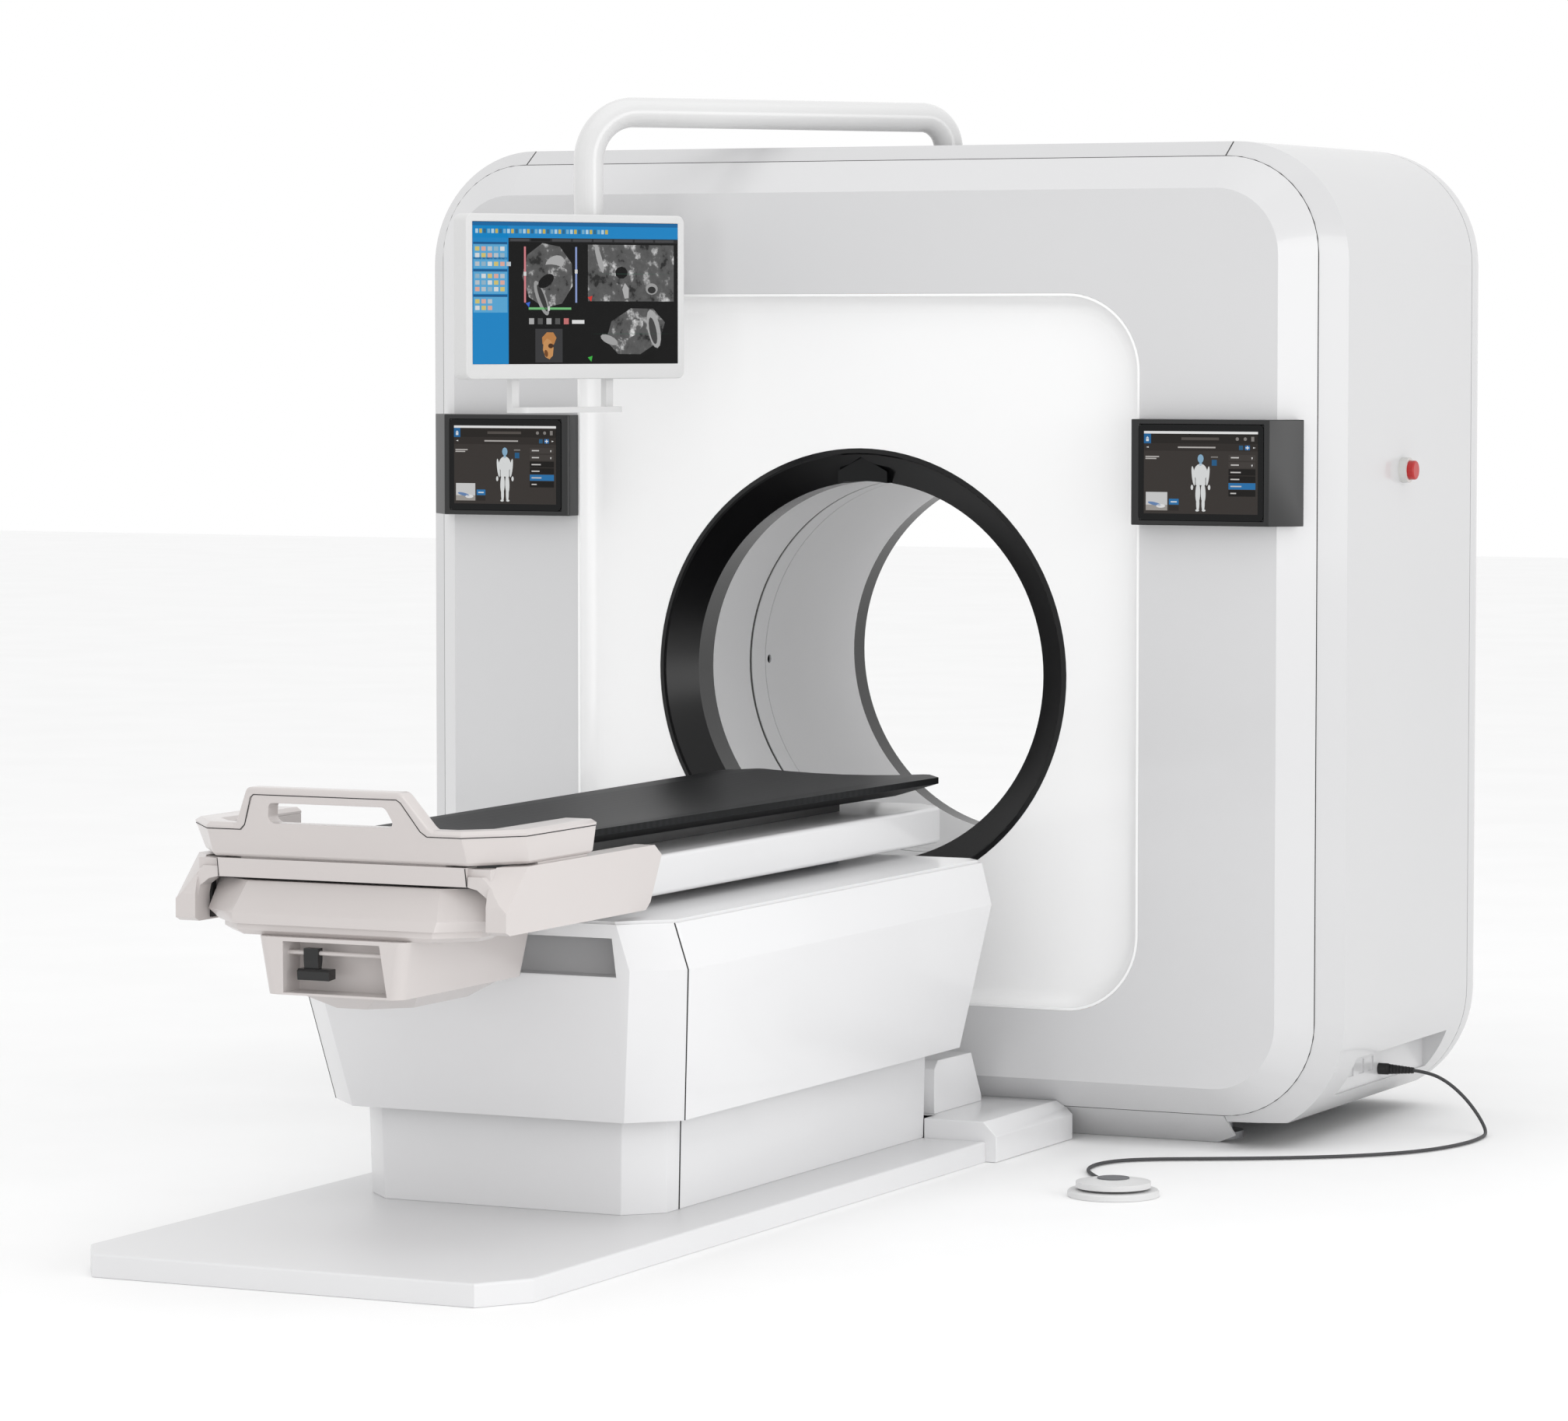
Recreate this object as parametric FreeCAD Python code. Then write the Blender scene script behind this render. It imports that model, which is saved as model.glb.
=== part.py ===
import FreeCAD, Part

import math
import os

V = FreeCAD.Vector

# ---------------------------------------------------------------------------
# Driving dimensions, in millimetres. While modelling, y = 0 is the plane of
# the bore's front ring, the couch lies toward -y and z = 0 is the floor.
# ---------------------------------------------------------------------------
WALL = 5.0              # moulded covers
GAP = 0.3               # between a moving face and its neighbour
SEAM = 3.0              # open seam between two covers

BORE_Z = 920.0          # height of the bore's axis
BORE_RADIUS = 383.0
RING_RADIUS = 450.0

FACE_Y = -38.0          # flat front of the gantry
SEAM_Y = 27.0           # seam between the front cover and the side covers
SIDE_Y = 71.0           # where the side covers reach their full width
REAR_BEND = 60.0        # rounding between the sides and the rear
REAR_Y = 881.0
FACE_HALF = 907.0
SEAM_HALF = 966.0
SIDE_HALF = 1012.0
FACE_LOW, FACE_HIGH = 125.0, 1882.0
SEAM_LOW, SEAM_HIGH = 66.0, 1945.0
SIDE_LOW, SIDE_HIGH = 20.0, 1975.0
FACE_CORNER, SEAM_CORNER, SIDE_CORNER = 130.0, 190.0, 236.0
TOP_SPLIT = 770.0       # where the top cover meets the side covers
COVER_BOTTOM = 52.0     # lower edge of the side covers
FOOT_HALF = 777.0       # the front cover's foot
FOOT_Y = 109.0          # where the foot's slope reaches the floor

DISH_HALF = 615.0
DISH_LOW, DISH_HIGH = 269.0, 1674.0
DISH_CORNER = 150.0
DISH_BEND = 34.0        # soft inner edge of the dish

SCREEN_INNER, SCREEN_OUTER = 618.0, 907.0
SCREEN_LOW, SCREEN_HIGH = 1228.0, 1434.0
SCREEN_PROUD = 42.0
GLASS_THICK = 3.0

STOP_Y, STOP_Z = 381.0, 1329.0
STOP_TRAVEL = 6.0

PLATE_FRONT = -2293.0
PLATE_REAR = -350.0
PLATE_HALF = 432.0
PLATE_THICK = 40.0
ORIGIN_Y = (PLATE_FRONT + REAR_Y) / 2      # the part's own origin, midway along its length

LIFT_DOWN = 120.0

parts = {}


# ---------------------------------------------------------------------------
# Shape helpers
# ---------------------------------------------------------------------------
def block(x0, x1, y0, y1, z0, z1):
    return Part.makeBox(x1 - x0, y1 - y0, z1 - z0, V(x0, y0, z0))


def outline(points):
    return Part.makePolygon([V(*p) for p in points] + [V(*points[0])])


def prism_x(points, x0, x1):
    """Solid from an outline of (y, z) points, between two places along x."""
    return Part.Face(outline([(x0, y, z) for y, z in points])).extrude(V(x1 - x0, 0, 0))


def prism_y(points, y0, y1):
    """Solid from an outline of (x, z) points, between two places along y."""
    return Part.Face(outline([(x, y0, z) for x, z in points])).extrude(V(0, y1 - y0, 0))


def prism_z(points, z0, z1):
    """Solid from an outline of (x, y) points, between two heights."""
    return Part.Face(outline([(x, y, z0) for x, y in points])).extrude(V(0, 0, z1 - z0))


def loft_z(levels):
    """Straight-sided solid through outlines of (x, y) points, each at its height."""
    wires = [outline([(x, y, z) for x, y in points]) for points, z in levels]
    return Part.makeLoft(wires, True, True)


def rounded_wire(half, low, high, radius, y):
    """Rounded rectangle about x = 0 that stands in a plane of constant y."""
    corners = [(half - radius, high - radius, 0), (radius - half, high - radius, 90),
               (radius - half, low + radius, 180), (half - radius, low + radius, 270)]
    edges = []
    last = None
    for x, z, start in corners:
        arc = []
        for turn in (start, start + 45, start + 90):
            angle = math.radians(turn)
            arc.append(V(x + radius * math.cos(angle), y, z + radius * math.sin(angle)))
        if last is not None:
            edges.append(Part.makeLine(last, arc[0]))
        edges.append(Part.Arc(*arc).toShape())
        last = arc[2]
    edges.append(Part.makeLine(last, edges[0].valueAt(edges[0].FirstParameter)))
    return Part.Wire(edges)


def rounded_loft(stations):
    return Part.makeLoft([rounded_wire(*station) for station in stations], True, True)


def rounded_prism(half, low, high, radius, y0, y1, bend=0.0, bend_y=0.0):
    """Rounded slab along y; with a bend, the edge of its face at bend_y is rounded."""
    slab = Part.Face(rounded_wire(half, low, high, radius, y0)).extrude(V(0, y1 - y0, 0))
    if bend:
        rim = [e for e in slab.Edges if abs(e.BoundBox.YMin - bend_y) + abs(e.BoundBox.YMax - bend_y) < 0.01]
        slab = slab.makeFillet(bend, rim)
    return slab


def bore_turned(profile):
    """Ring turned about the bore's axis from an outline of (radius, y) points."""
    face = Part.Face(outline([(r, y, BORE_Z) for r, y in profile]))
    return face.revolve(V(0, 0, BORE_Z), V(0, 1, 0), 360)


def bore_ring(inner, outer, y0, y1):
    return bore_turned([(inner, y0), (outer, y0), (outer, y1), (inner, y1)])


def bore_plug(radius, y0, y1):
    return Part.makeCylinder(radius, y1 - y0, V(0, y0, BORE_Z), V(0, 1, 0))


def rod_z(x, y, z0, z1, radius):
    return Part.makeCylinder(radius, z1 - z0, V(x, y, z0), V(0, 0, 1))


def rod_x(x0, x1, y, z, radius):
    return Part.makeCylinder(radius, x1 - x0, V(x0, y, z), V(1, 0, 0))


def mirrored(shape):
    return shape.mirror(V(0, 0, 0), V(1, 0, 0))


def both_sides(shape):
    return [shape, mirrored(shape)]


def joined(shapes):
    whole = shapes[0]
    for shape in shapes[1:]:
        whole = whole.fuse(shape)
    return whole.removeSplitter()


def without(shape, *tools):
    for tool in tools:
        shape = shape.cut(tool)
    return shape


def cut_corners(half, y0, y1, cut, rear_cut=None):
    """Outline of a rectangle about x = 0 with its four corners cut off."""
    rear = cut if rear_cut is None else rear_cut
    return [(-half, y0 + cut), (cut - half, y0), (half - cut, y0), (half, y0 + cut),
            (half, y1 - rear), (half - rear, y1), (rear - half, y1), (-half, y1 - rear)]


# ---------------------------------------------------------------------------
# Gantry covers
# ---------------------------------------------------------------------------
def gantry_form(inset):
    """Outer form of the gantry from its seam back to its rear, or the same form inset."""
    seam = (SEAM_HALF - inset, SEAM_LOW + inset, SEAM_HIGH - inset, SEAM_CORNER - inset, SEAM_Y)
    side = (SIDE_HALF - inset, SIDE_LOW + inset, SIDE_HIGH - inset, SIDE_CORNER - inset, SIDE_Y)
    chamfer = rounded_loft([seam, side])
    back = rounded_prism(*side[:4], SIDE_Y, REAR_Y - inset, REAR_BEND - inset, REAR_Y - inset)
    return chamfer.fuse(back)


def dish_form(grow):
    """Shallow dish round the bore's mouth, from the flat front back to the ring's plane."""
    return rounded_prism(DISH_HALF + grow, DISH_LOW - grow, DISH_HIGH + grow, DISH_CORNER + grow,
                         FACE_Y, grow, DISH_BEND + grow, grow)


def make_front():
    face = (FACE_HALF, FACE_LOW, FACE_HIGH, FACE_CORNER, FACE_Y)
    seam = (SEAM_HALF, SEAM_LOW, SEAM_HIGH, SEAM_CORNER, SEAM_Y - SEAM)
    inner_face = (FACE_HALF - 3, FACE_LOW + 3, FACE_HIGH - 3, FACE_CORNER - 3, FACE_Y + WALL)
    inner_seam = (SEAM_HALF - 7, SEAM_LOW + 7, SEAM_HIGH - 7, SEAM_CORNER - 7, SEAM_Y - SEAM)
    shell = rounded_loft([face, seam]).cut(rounded_loft([inner_face, inner_seam]))
    opening = rounded_prism(DISH_HALF + WALL + GAP, DISH_LOW - WALL - GAP, DISH_HIGH + WALL + GAP,
                            DISH_CORNER + WALL, FACE_Y - 1, FACE_Y + 20)
    shell = shell.cut(opening)
    slope = (SEAM_LOW - 0) / (FOOT_Y - SEAM_Y)
    top_z = SEAM_LOW + SEAM * slope
    foot = prism_x([(SEAM_Y - SEAM, SEAM_LOW), (FOOT_Y, 0), (FOOT_Y + 9, 0), (SEAM_Y - SEAM, top_z + 5)],
                   -FOOT_HALF, FOOT_HALF)
    end_cut = prism_y([(731, -1), (FOOT_HALF + 1, -1), (FOOT_HALF + 1, 18)], 0, FOOT_Y + 20)
    foot = without(foot, *both_sides(end_cut))
    parts["front_cover"] = joined([shell, foot])

    dish = dish_form(WALL).cut(dish_form(0))
    parts["dish_panel"] = dish.cut(bore_plug(RING_RADIUS + GAP, -60, 60))


def make_shell():
    form = gantry_form(0).cut(gantry_form(WALL))
    rear_split = REAR_Y - REAR_BEND - 31
    top = block(-TOP_SPLIT, TOP_SPLIT, SEAM_Y, rear_split, BORE_Z, 2100)
    parts["top_cover"] = form.common(top)

    side = form.common(block(TOP_SPLIT + SEAM, 1100, SEAM_Y, rear_split, COVER_BOTTOM, 2100))
    side = side.cut(block(700, FOOT_HALF + 2, SEAM_Y - 1, FOOT_Y + 12, 0, SEAM_LOW + 10))
    pocket = block(POCKET_FACE - WALL, 1100, POCKET_Y0 - 2, POCKET_Y1 + 2, POCKET_Z0 - 2, POCKET_Z1 + 2)
    parts["left_side_cover"] = mirrored(side)
    parts["right_side_cover"] = side.cut(pocket)

    tray = pocket.cut(block(POCKET_FACE, 1100, POCKET_Y0 + 2, POCKET_Y1 - 2, POCKET_Z0 + 2, POCKET_Z1 - 2))
    tray = tray.common(gantry_form(0))
    for y in (290, 350, 405):
        tray = tray.cut(block(POCKET_FACE - 2, POCKET_FACE + 1, y - 14, y + 14, 122, 150))
    parts["connector_panel"] = tray

    rear = form.common(block(-1100, 1100, rear_split + SEAM, REAR_Y + 1, COVER_BOTTOM, 2100))
    back_dish = dish_form(0).mirror(V(0, 0, 0), V(0, 1, 0))
    back_dish.translate(V(0, REAR_Y + FACE_Y, 0))
    back_wall = dish_form(WALL).mirror(V(0, 0, 0), V(0, 1, 0))
    back_wall.translate(V(0, REAR_Y + FACE_Y, 0))
    rear = joined([rear.cut(back_wall), back_wall.cut(back_dish)])
    parts["rear_cover"] = rear.cut(bore_plug(REAR_RING_RADIUS + GAP, 700, 1000))


POCKET_FACE = 945.0
POCKET_Y0, POCKET_Y1 = 180.0, 713.0
POCKET_Z0, POCKET_Z1 = 95.0, 175.0
REAR_RING_RADIUS = 410.0


def make_bore():
    cone_back = 41.0
    band_back = 108.0
    wall = 6.0
    ring = bore_turned([(RING_RADIUS, 0), (441, -3), (438, 3), (BORE_RADIUS, cone_back),
                        (BORE_RADIUS, band_back), (BORE_RADIUS + wall, band_back),
                        (BORE_RADIUS + wall, cone_back + 3), (441, 9), (RING_RADIUS, 9)])
    low = BORE_Z + BORE_RADIUS - 12
    peak = BORE_Z + 438
    window = [(-57, low), (52, low), (52, peak - 34), (-2, peak - 5), (-57, peak - 34)]
    inner = [(-56.7, low), (51.7, low), (51.7, peak - 34.3), (-2, peak - 5.4), (-56.7, peak - 34.3)]
    parts["bore_front_ring"] = ring.cut(prism_y(window, -10, 70))
    glass = prism_y(inner, 16, 69.7).cut(bore_plug(BORE_RADIUS + 1, 0, 100))
    parts["bore_sensor_window"] = glass

    liner_wall = 4.0
    outer = BORE_RADIUS + liner_wall
    front_liner = bore_ring(BORE_RADIUS, outer, band_back, 278)
    parts["scan_window_ring"] = bore_ring(BORE_RADIUS + 1.5, outer + 3, 278, 289)
    liner = bore_ring(BORE_RADIUS, outer, 289, 790)
    groove = bore_ring(BORE_RADIUS - 1, BORE_RADIUS + 2, 351, 354)
    peep = Part.makeCylinder(9, 20, V(-BORE_RADIUS - 8, 372, BORE_Z), V(1, 0, 0))
    parts["bore_liners"] = Part.makeCompound([front_liner, without(liner, groove, peep)])
    parts["bore_rear_ring"] = bore_turned([(BORE_RADIUS, 790), (BORE_RADIUS + wall, 790),
                                           (BORE_RADIUS + wall, 838), (REAR_RING_RADIUS, 838),
                                           (REAR_RING_RADIUS, 846), (395, 848), (BORE_RADIUS, 843)])


def make_controls():
    front = FACE_Y - SCREEN_PROUD
    body = prism_z([(SCREEN_INNER, FACE_Y), (SCREEN_INNER, front), (SCREEN_OUTER, front),
                    (958, -26), (938, -6), (SCREEN_OUTER, FACE_Y)], SCREEN_LOW, SCREEN_HIGH)
    upright = [e for e in body.Edges if abs(e.BoundBox.XMin - SCREEN_INNER) < 0.1
               and abs(e.BoundBox.XMax - SCREEN_INNER) < 0.1 and abs(e.BoundBox.YMax - front) < 0.1]
    body = body.makeFillet(6, upright)
    glass = [636, 895, 1238, 1424]
    pocket = block(glass[0] - GAP, glass[1] + GAP, front - 1, front + GLASS_THICK, glass[2] - GAP,
                   glass[3] + GAP)
    body = body.cut(pocket)
    pane = block(glass[0], glass[1], front - 0.6, front + GLASS_THICK, glass[2], glass[3])
    upright = [e for e in pane.Edges if e.BoundBox.YLength > 1]
    pane = pane.makeFillet(10, upright)
    parts["touchscreen_housings"] = Part.makeCompound(both_sides(body))
    parts["touchscreen_glasses"] = Part.makeCompound(both_sides(pane))

    collar = rod_x(SIDE_HALF, SIDE_HALF + 16, STOP_Y, STOP_Z, 25)
    well = rod_x(SIDE_HALF + 2, SIDE_HALF + 17, STOP_Y, STOP_Z, 19 + GAP)
    collar = collar.cut(well)
    button = rod_x(SIDE_HALF + 2 + STOP_TRAVEL + GAP, SIDE_HALF + 30, STOP_Y, STOP_Z, 19)
    rim = [e for e in button.Edges if e.BoundBox.XMin > SIDE_HALF + 29.9]
    button = button.makeFillet(3.5, rim)
    parts["emergency_stop_collars"] = Part.makeCompound(both_sides(collar))
    parts["right_stop_button"] = button
    parts["left_stop_button"] = mirrored(button)


# ---------------------------------------------------------------------------
# Inside the gantry
# ---------------------------------------------------------------------------
BEARING_SEAT = 560.0        # bore of the stator frame
BEARING_GAP_RADIUS = 500.0  # between the bearing's two rings
HUB_RADIUS = 400.0          # inside of the rotor
SLIP_RADIUS = 492.0
DRUM_RADIUS = 760.0
DISC_FRONT, DISC_BACK = 480.0, 520.0
DRUM_FRONT = 200.0
STATOR_FRONT, STATOR_BACK = 535.0, 575.0
STATOR_HALF = 880.0
RAIL_X0, RAIL_X1 = 640.0, 760.0
RAIL_Y0, RAIL_Y1 = 130.0, 800.0
RAIL_LOW, RAIL_HIGH = 40.0, 120.0
FOOT_POINTS = [(700, 190), (700, 740), (-700, 190), (-700, 740)]
ANCHOR_HOLE = 18.0


def make_base():
    rails = both_sides(block(RAIL_X0, RAIL_X1, RAIL_Y0, RAIL_Y1, RAIL_LOW, RAIL_HIGH))
    ties = [block(-RAIL_X0, RAIL_X0, y, y + 80, RAIL_LOW + 10, RAIL_HIGH) for y in (300, STATOR_FRONT, 700)]
    frame = joined(rails + ties)
    holes = [rod_z(x, y, 0, 200, ANCHOR_HOLE / 2) for x, y in FOOT_POINTS]
    parts["base_frame"] = without(frame, *holes)
    feet = []
    for (x, y), hole in zip(FOOT_POINTS, holes):
        foot = rod_z(x, y, 0, 14, 52).fuse(rod_z(x, y, 14, RAIL_LOW, 30))
        feet.append(foot.removeSplitter().cut(hole))
    parts["levelling_feet"] = Part.makeCompound(feet)

    plate = prism_y([(-STATOR_HALF, RAIL_HIGH), (STATOR_HALF, RAIL_HIGH), (STATOR_HALF, 1600),
                     (700, 1850), (-700, 1850), (-STATOR_HALF, 1600)], STATOR_FRONT, STATOR_BACK)
    plate = plate.cut(bore_plug(BEARING_SEAT, STATOR_FRONT - 1, STATOR_BACK + 1))
    braces = []
    for x in (-700, 700):
        brace = prism_x([(STATOR_BACK, RAIL_HIGH), (RAIL_Y1, RAIL_HIGH), (STATOR_BACK, 900)], x - 8, x + 8)
        braces.append(brace)
    top_arm = block(-200, 200, 380, STATOR_FRONT, 1800, 1850)
    socket = block(-90, 90, 380, STATOR_FRONT, 1850, SIDE_HIGH - WALL)
    ties = []
    for x in (-870, 870):
        ties.append(block(min(x, x * 1.157), max(x, x * 1.157), STATOR_FRONT, STATOR_BACK, 850, 990))
    brackets = []
    for x, z in ((600, 300), (-600, 300), (560, 1640), (-560, 1640)):
        brackets.append(block(x - 25, x + 25, WALL, STATOR_FRONT, z - 25, z + 25))
    hollow = bore_plug(DRUM_RADIUS + 60, 20, STATOR_FRONT)
    brackets = [bracket.cut(hollow) for bracket in brackets]
    brush = block(500, 620, STATOR_BACK, STATOR_BACK + 45, BORE_Z + 240, BORE_Z + 330)
    brush = brush.cut(bore_plug(BEARING_SEAT + 5, STATOR_BACK - 1, STATOR_BACK + 11))
    contact = bore_ring(SLIP_RADIUS + 1, 560, STATOR_BACK + 14, STATOR_BACK + 40)
    contact = contact.common(block(380, 560, STATOR_BACK, STATOR_BACK + 45, BORE_Z + 240, BORE_Z + 330))
    parts["stator_frame"] = joined([plate, top_arm, socket, brush, contact] + braces + ties + brackets)


def make_rotor():
    parts["bearing_outer_ring"] = bore_ring(BEARING_GAP_RADIUS, BEARING_SEAT - 0.05, DISC_BACK + 4,
                                            STATOR_BACK + 10)
    parts["bearing_inner_ring"] = bore_ring(440, BEARING_GAP_RADIUS - GAP, DISC_BACK, STATOR_BACK + 10)
    disc = bore_ring(HUB_RADIUS, DRUM_RADIUS, DISC_FRONT, DISC_BACK)
    rim = bore_ring(DRUM_RADIUS - 14, DRUM_RADIUS, DRUM_FRONT, DISC_FRONT)
    hub = bore_ring(HUB_RADIUS, HUB_RADIUS + 10, DRUM_FRONT + 70, DISC_FRONT)
    magnets = bore_ring(DRUM_RADIUS, DRUM_RADIUS + 8, DISC_FRONT + 4, DISC_BACK)
    parts["rotor_drum"] = joined([disc, rim, hub, magnets])

    top = BORE_Z + 450
    tube = block(-150, 150, 240, DISC_FRONT, top + 60, top + 270)
    port = Part.makeCylinder(105, 230, V(0, 235, top + 165), V(0, 1, 0))
    collimator = block(-110, 110, 270, DISC_FRONT, top - 10, top + 60)
    collimator = collimator.cut(block(-70, 70, 290, 340, top - 11, top + 59))
    parts["xray_tube_unit"] = joined([tube, port, collimator])

    sector = [(0, 0)] + [(900 * math.sin(math.radians(a)), -900 * math.cos(math.radians(a)))
                         for a in (-38, -19, 0, 19, 38)]
    wedge = prism_y([(x, BORE_Z + z) for x, z in sector], 260, DISC_FRONT)
    parts["detector"] = bore_ring(580, 680, 260, DISC_FRONT).common(wedge)

    power_unit = block(450, 640, 260, DISC_FRONT, BORE_Z - 140, BORE_Z + 160)
    counterweight = block(-620, -460, 300, DISC_FRONT, BORE_Z - 160, BORE_Z + 140)
    parts["rotor_side_units"] = Part.makeCompound([power_unit, counterweight])
    parts["slip_ring"] = bore_ring(445, SLIP_RADIUS, STATOR_BACK + 10, STATOR_BACK + 50)
    parts["coil_ring"] = bore_ring(DRUM_RADIUS + 8.5, DRUM_RADIUS + 45, DISC_FRONT + 2, STATOR_FRONT)


# ---------------------------------------------------------------------------
# Couch: floor plate, covers between couch and gantry, skirt and column
# ---------------------------------------------------------------------------
SKIRT_HALF = 300.0
SKIRT_FRONT, SKIRT_REAR = -1515.0, -290.0
SKIRT_SPLIT = -1406.0
SKIRT_TOP = 400.0
LINK_HALF = 455.0
LINK_HIGH = 78.0
HOUSING_LOW, HOUSING_CREASE, HOUSING_HIGH = 213.0, 490.0, 573.0
HOUSING_WALL = 4.0
COLUMN_HALF_X, COLUMN_HALF_Y = 130.0, 230.0
COLUMN_Y = -900.0
COLUMN_WALL = 10.0
CHASSIS_LOW, CHASSIS_HIGH = 475.0, 493.0
SUPPORT_YS = (-1450.0, -520.0)
BEAM_HALF = 235.0
BEAM_LOW, BEAM_HIGH = 595.0, 668.0
TABLE_LOW, TABLE_HIGH = 690.0, 726.0


def make_floor():
    corners = [(-PLATE_HALF, PLATE_FRONT + 93), (62 - PLATE_HALF, PLATE_FRONT), (PLATE_HALF - 62,
               PLATE_FRONT),
               (PLATE_HALF, PLATE_FRONT + 93), (PLATE_HALF, PLATE_REAR), (-PLATE_HALF, PLATE_REAR)]
    plate = prism_z(corners, 0, PLATE_THICK)
    rim = [e for e in plate.Edges if e.BoundBox.ZMin > PLATE_THICK - 0.1]
    parts["floor_plate"] = plate.makeFillet(5, rim)

    slope = prism_x([(SEAM_Y - SEAM - 0.5, 0), (SEAM_Y - SEAM - 0.5, SEAM_LOW + 2), (FOOT_Y - 0.6, 0)],
                    -600, 600)
    cover = prism_y([(-LINK_HALF, 0), (-LINK_HALF, 50), (28 - LINK_HALF, LINK_HIGH), (LINK_HALF - 28,
                    LINK_HIGH),
                     (LINK_HALF, 50), (LINK_HALF, 0)], PLATE_REAR + GAP, FACE_Y - 0.5)
    inner = prism_y([(4 - LINK_HALF, -1), (4 - LINK_HALF, 48), (30 - LINK_HALF, LINK_HIGH - 4),
                     (LINK_HALF - 30, LINK_HIGH - 4), (LINK_HALF - 4, 48), (LINK_HALF - 4, -1)],
                    PLATE_REAR + 5, FACE_Y - 5)
    under = prism_y([(-LINK_HALF, 0), (-LINK_HALF, 50), (28 - LINK_HALF, LINK_HIGH), (LINK_HALF - 28,
                    LINK_HIGH),
                     (LINK_HALF, 50), (LINK_HALF, 0)], FACE_Y - 0.5, SEAM_Y)
    under = under.common(slope.fuse(block(-600, 600, FACE_Y - 1, SEAM_Y - SEAM - 0.5, 0, 200)))
    front_slope = prism_x([(FACE_Y - 2, FACE_LOW + 1), (SEAM_Y - SEAM - 0.4, SEAM_LOW - 0.4),
                          (FOOT_Y - 0.6, -0.3),
                           (FOOT_Y + 9, -0.3), (FOOT_Y + 9, 200)], -600, 600)
    under = under.cut(front_slope)
    for_skirt = block(-SKIRT_HALF - 1, SKIRT_HALF + 1, PLATE_REAR, SKIRT_REAR + 1, 0, 200)
    parts["link_cover"] = joined([without(cover, inner, for_skirt), under])

    tower = [(SKIRT_REAR + 2, LINK_HIGH), (SKIRT_REAR + 2, 166), (SKIRT_REAR + 18, 182), (-112, 180),
             (-62, 90), (-62, LINK_HIGH)]
    hollow = [(SKIRT_REAR + 6, LINK_HIGH - 1), (SKIRT_REAR + 6, 164), (SKIRT_REAR + 20, 178), (-115, 176),
              (-66, 89), (-66, LINK_HIGH - 1)]
    parts["link_tower"] = prism_x(tower, -296, 296).cut(prism_x(hollow, -292, 292))


def make_skirt():
    low = cut_corners(SKIRT_HALF, SKIRT_FRONT, SKIRT_REAR, 60)
    high = cut_corners(SKIRT_HALF + 8, SKIRT_FRONT - 8, SKIRT_REAR, 60)
    in_low = cut_corners(SKIRT_HALF - 4, SKIRT_FRONT + 4, SKIRT_REAR - 4, 58)
    in_high = cut_corners(SKIRT_HALF + 4, SKIRT_FRONT - 4, SKIRT_REAR - 4, 58)
    shell = loft_z([(low, PLATE_THICK), (high, SKIRT_TOP)])
    shell = shell.cut(loft_z([(in_low, PLATE_THICK), (in_high, SKIRT_TOP)]))
    shell = shell.cut(block(-400, 400, PLATE_REAR, SKIRT_REAR + 1, 0, PLATE_THICK))
    front = block(-400, 400, -1600, SKIRT_SPLIT, 0, 600)
    body = shell.cut(block(-400, 400, -1600, SKIRT_SPLIT + 1.5, 0, 600))
    parts["skirt_panels"] = Part.makeCompound([shell.common(front), body])


def make_column():
    x, y = COLUMN_HALF_X, COLUMN_HALF_Y
    outer = block(-x, x, COLUMN_Y - y, COLUMN_Y + y, PLATE_THICK, CHASSIS_LOW - LIFT_DOWN - 5)
    wall = COLUMN_WALL
    outer = outer.cut(block(wall - x, x - wall, COLUMN_Y - y + wall, COLUMN_Y + y - wall,
                      PLATE_THICK + 12, CHASSIS_LOW))
    sx = x - wall - GAP
    sy = y - wall - GAP
    low = PLATE_THICK + 12 + LIFT_DOWN + 10
    inner = block(-sx, sx, COLUMN_Y - sy, COLUMN_Y + sy, low, CHASSIS_LOW)
    inner = inner.cut(block(wall - sx, sx - wall, COLUMN_Y - sy + wall, COLUMN_Y + sy - wall, low - 1,
                      CHASSIS_LOW - 12))
    base = PLATE_THICK + 12
    cylinder = rod_z(0, COLUMN_Y, base, 320, 42).cut(rod_z(0, COLUMN_Y, base + 20, 321, 24 + GAP))
    piston = rod_z(0, COLUMN_Y, base + 20 + LIFT_DOWN + 10, CHASSIS_LOW - 12, 24)
    parts["column_outer"] = joined([outer, cylinder])
    parts["column_inner"] = joined([inner, piston])


def make_chassis(inner_form):
    """Welded carrier on the column: it holds the beam and the housing's covers."""
    tray = prism_z(cut_corners(298, -1500, -330, 64), CHASSIS_LOW, CHASSIS_HIGH + 37)
    pieces = [tray.cut(prism_z(cut_corners(278, -1480, -350, 62), CHASSIS_HIGH, CHASSIS_HIGH + 38))]
    for y in SUPPORT_YS:
        pieces.append(block(-150, 150, y, y + 100, CHASSIS_HIGH, BEAM_LOW))
    for y in (-1400, -900, -450):
        tie = block(279, 420, y, y + 40, CHASSIS_HIGH + 31, CHASSIS_HIGH + 37)
        pieces += both_sides(tie.common(inner_form))
        pieces += both_sides(block(279, 297, y, y + 40, CHASSIS_HIGH + 37, HOUSING_HIGH - 4))
    parts["couch_chassis"] = joined(pieces)


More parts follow.
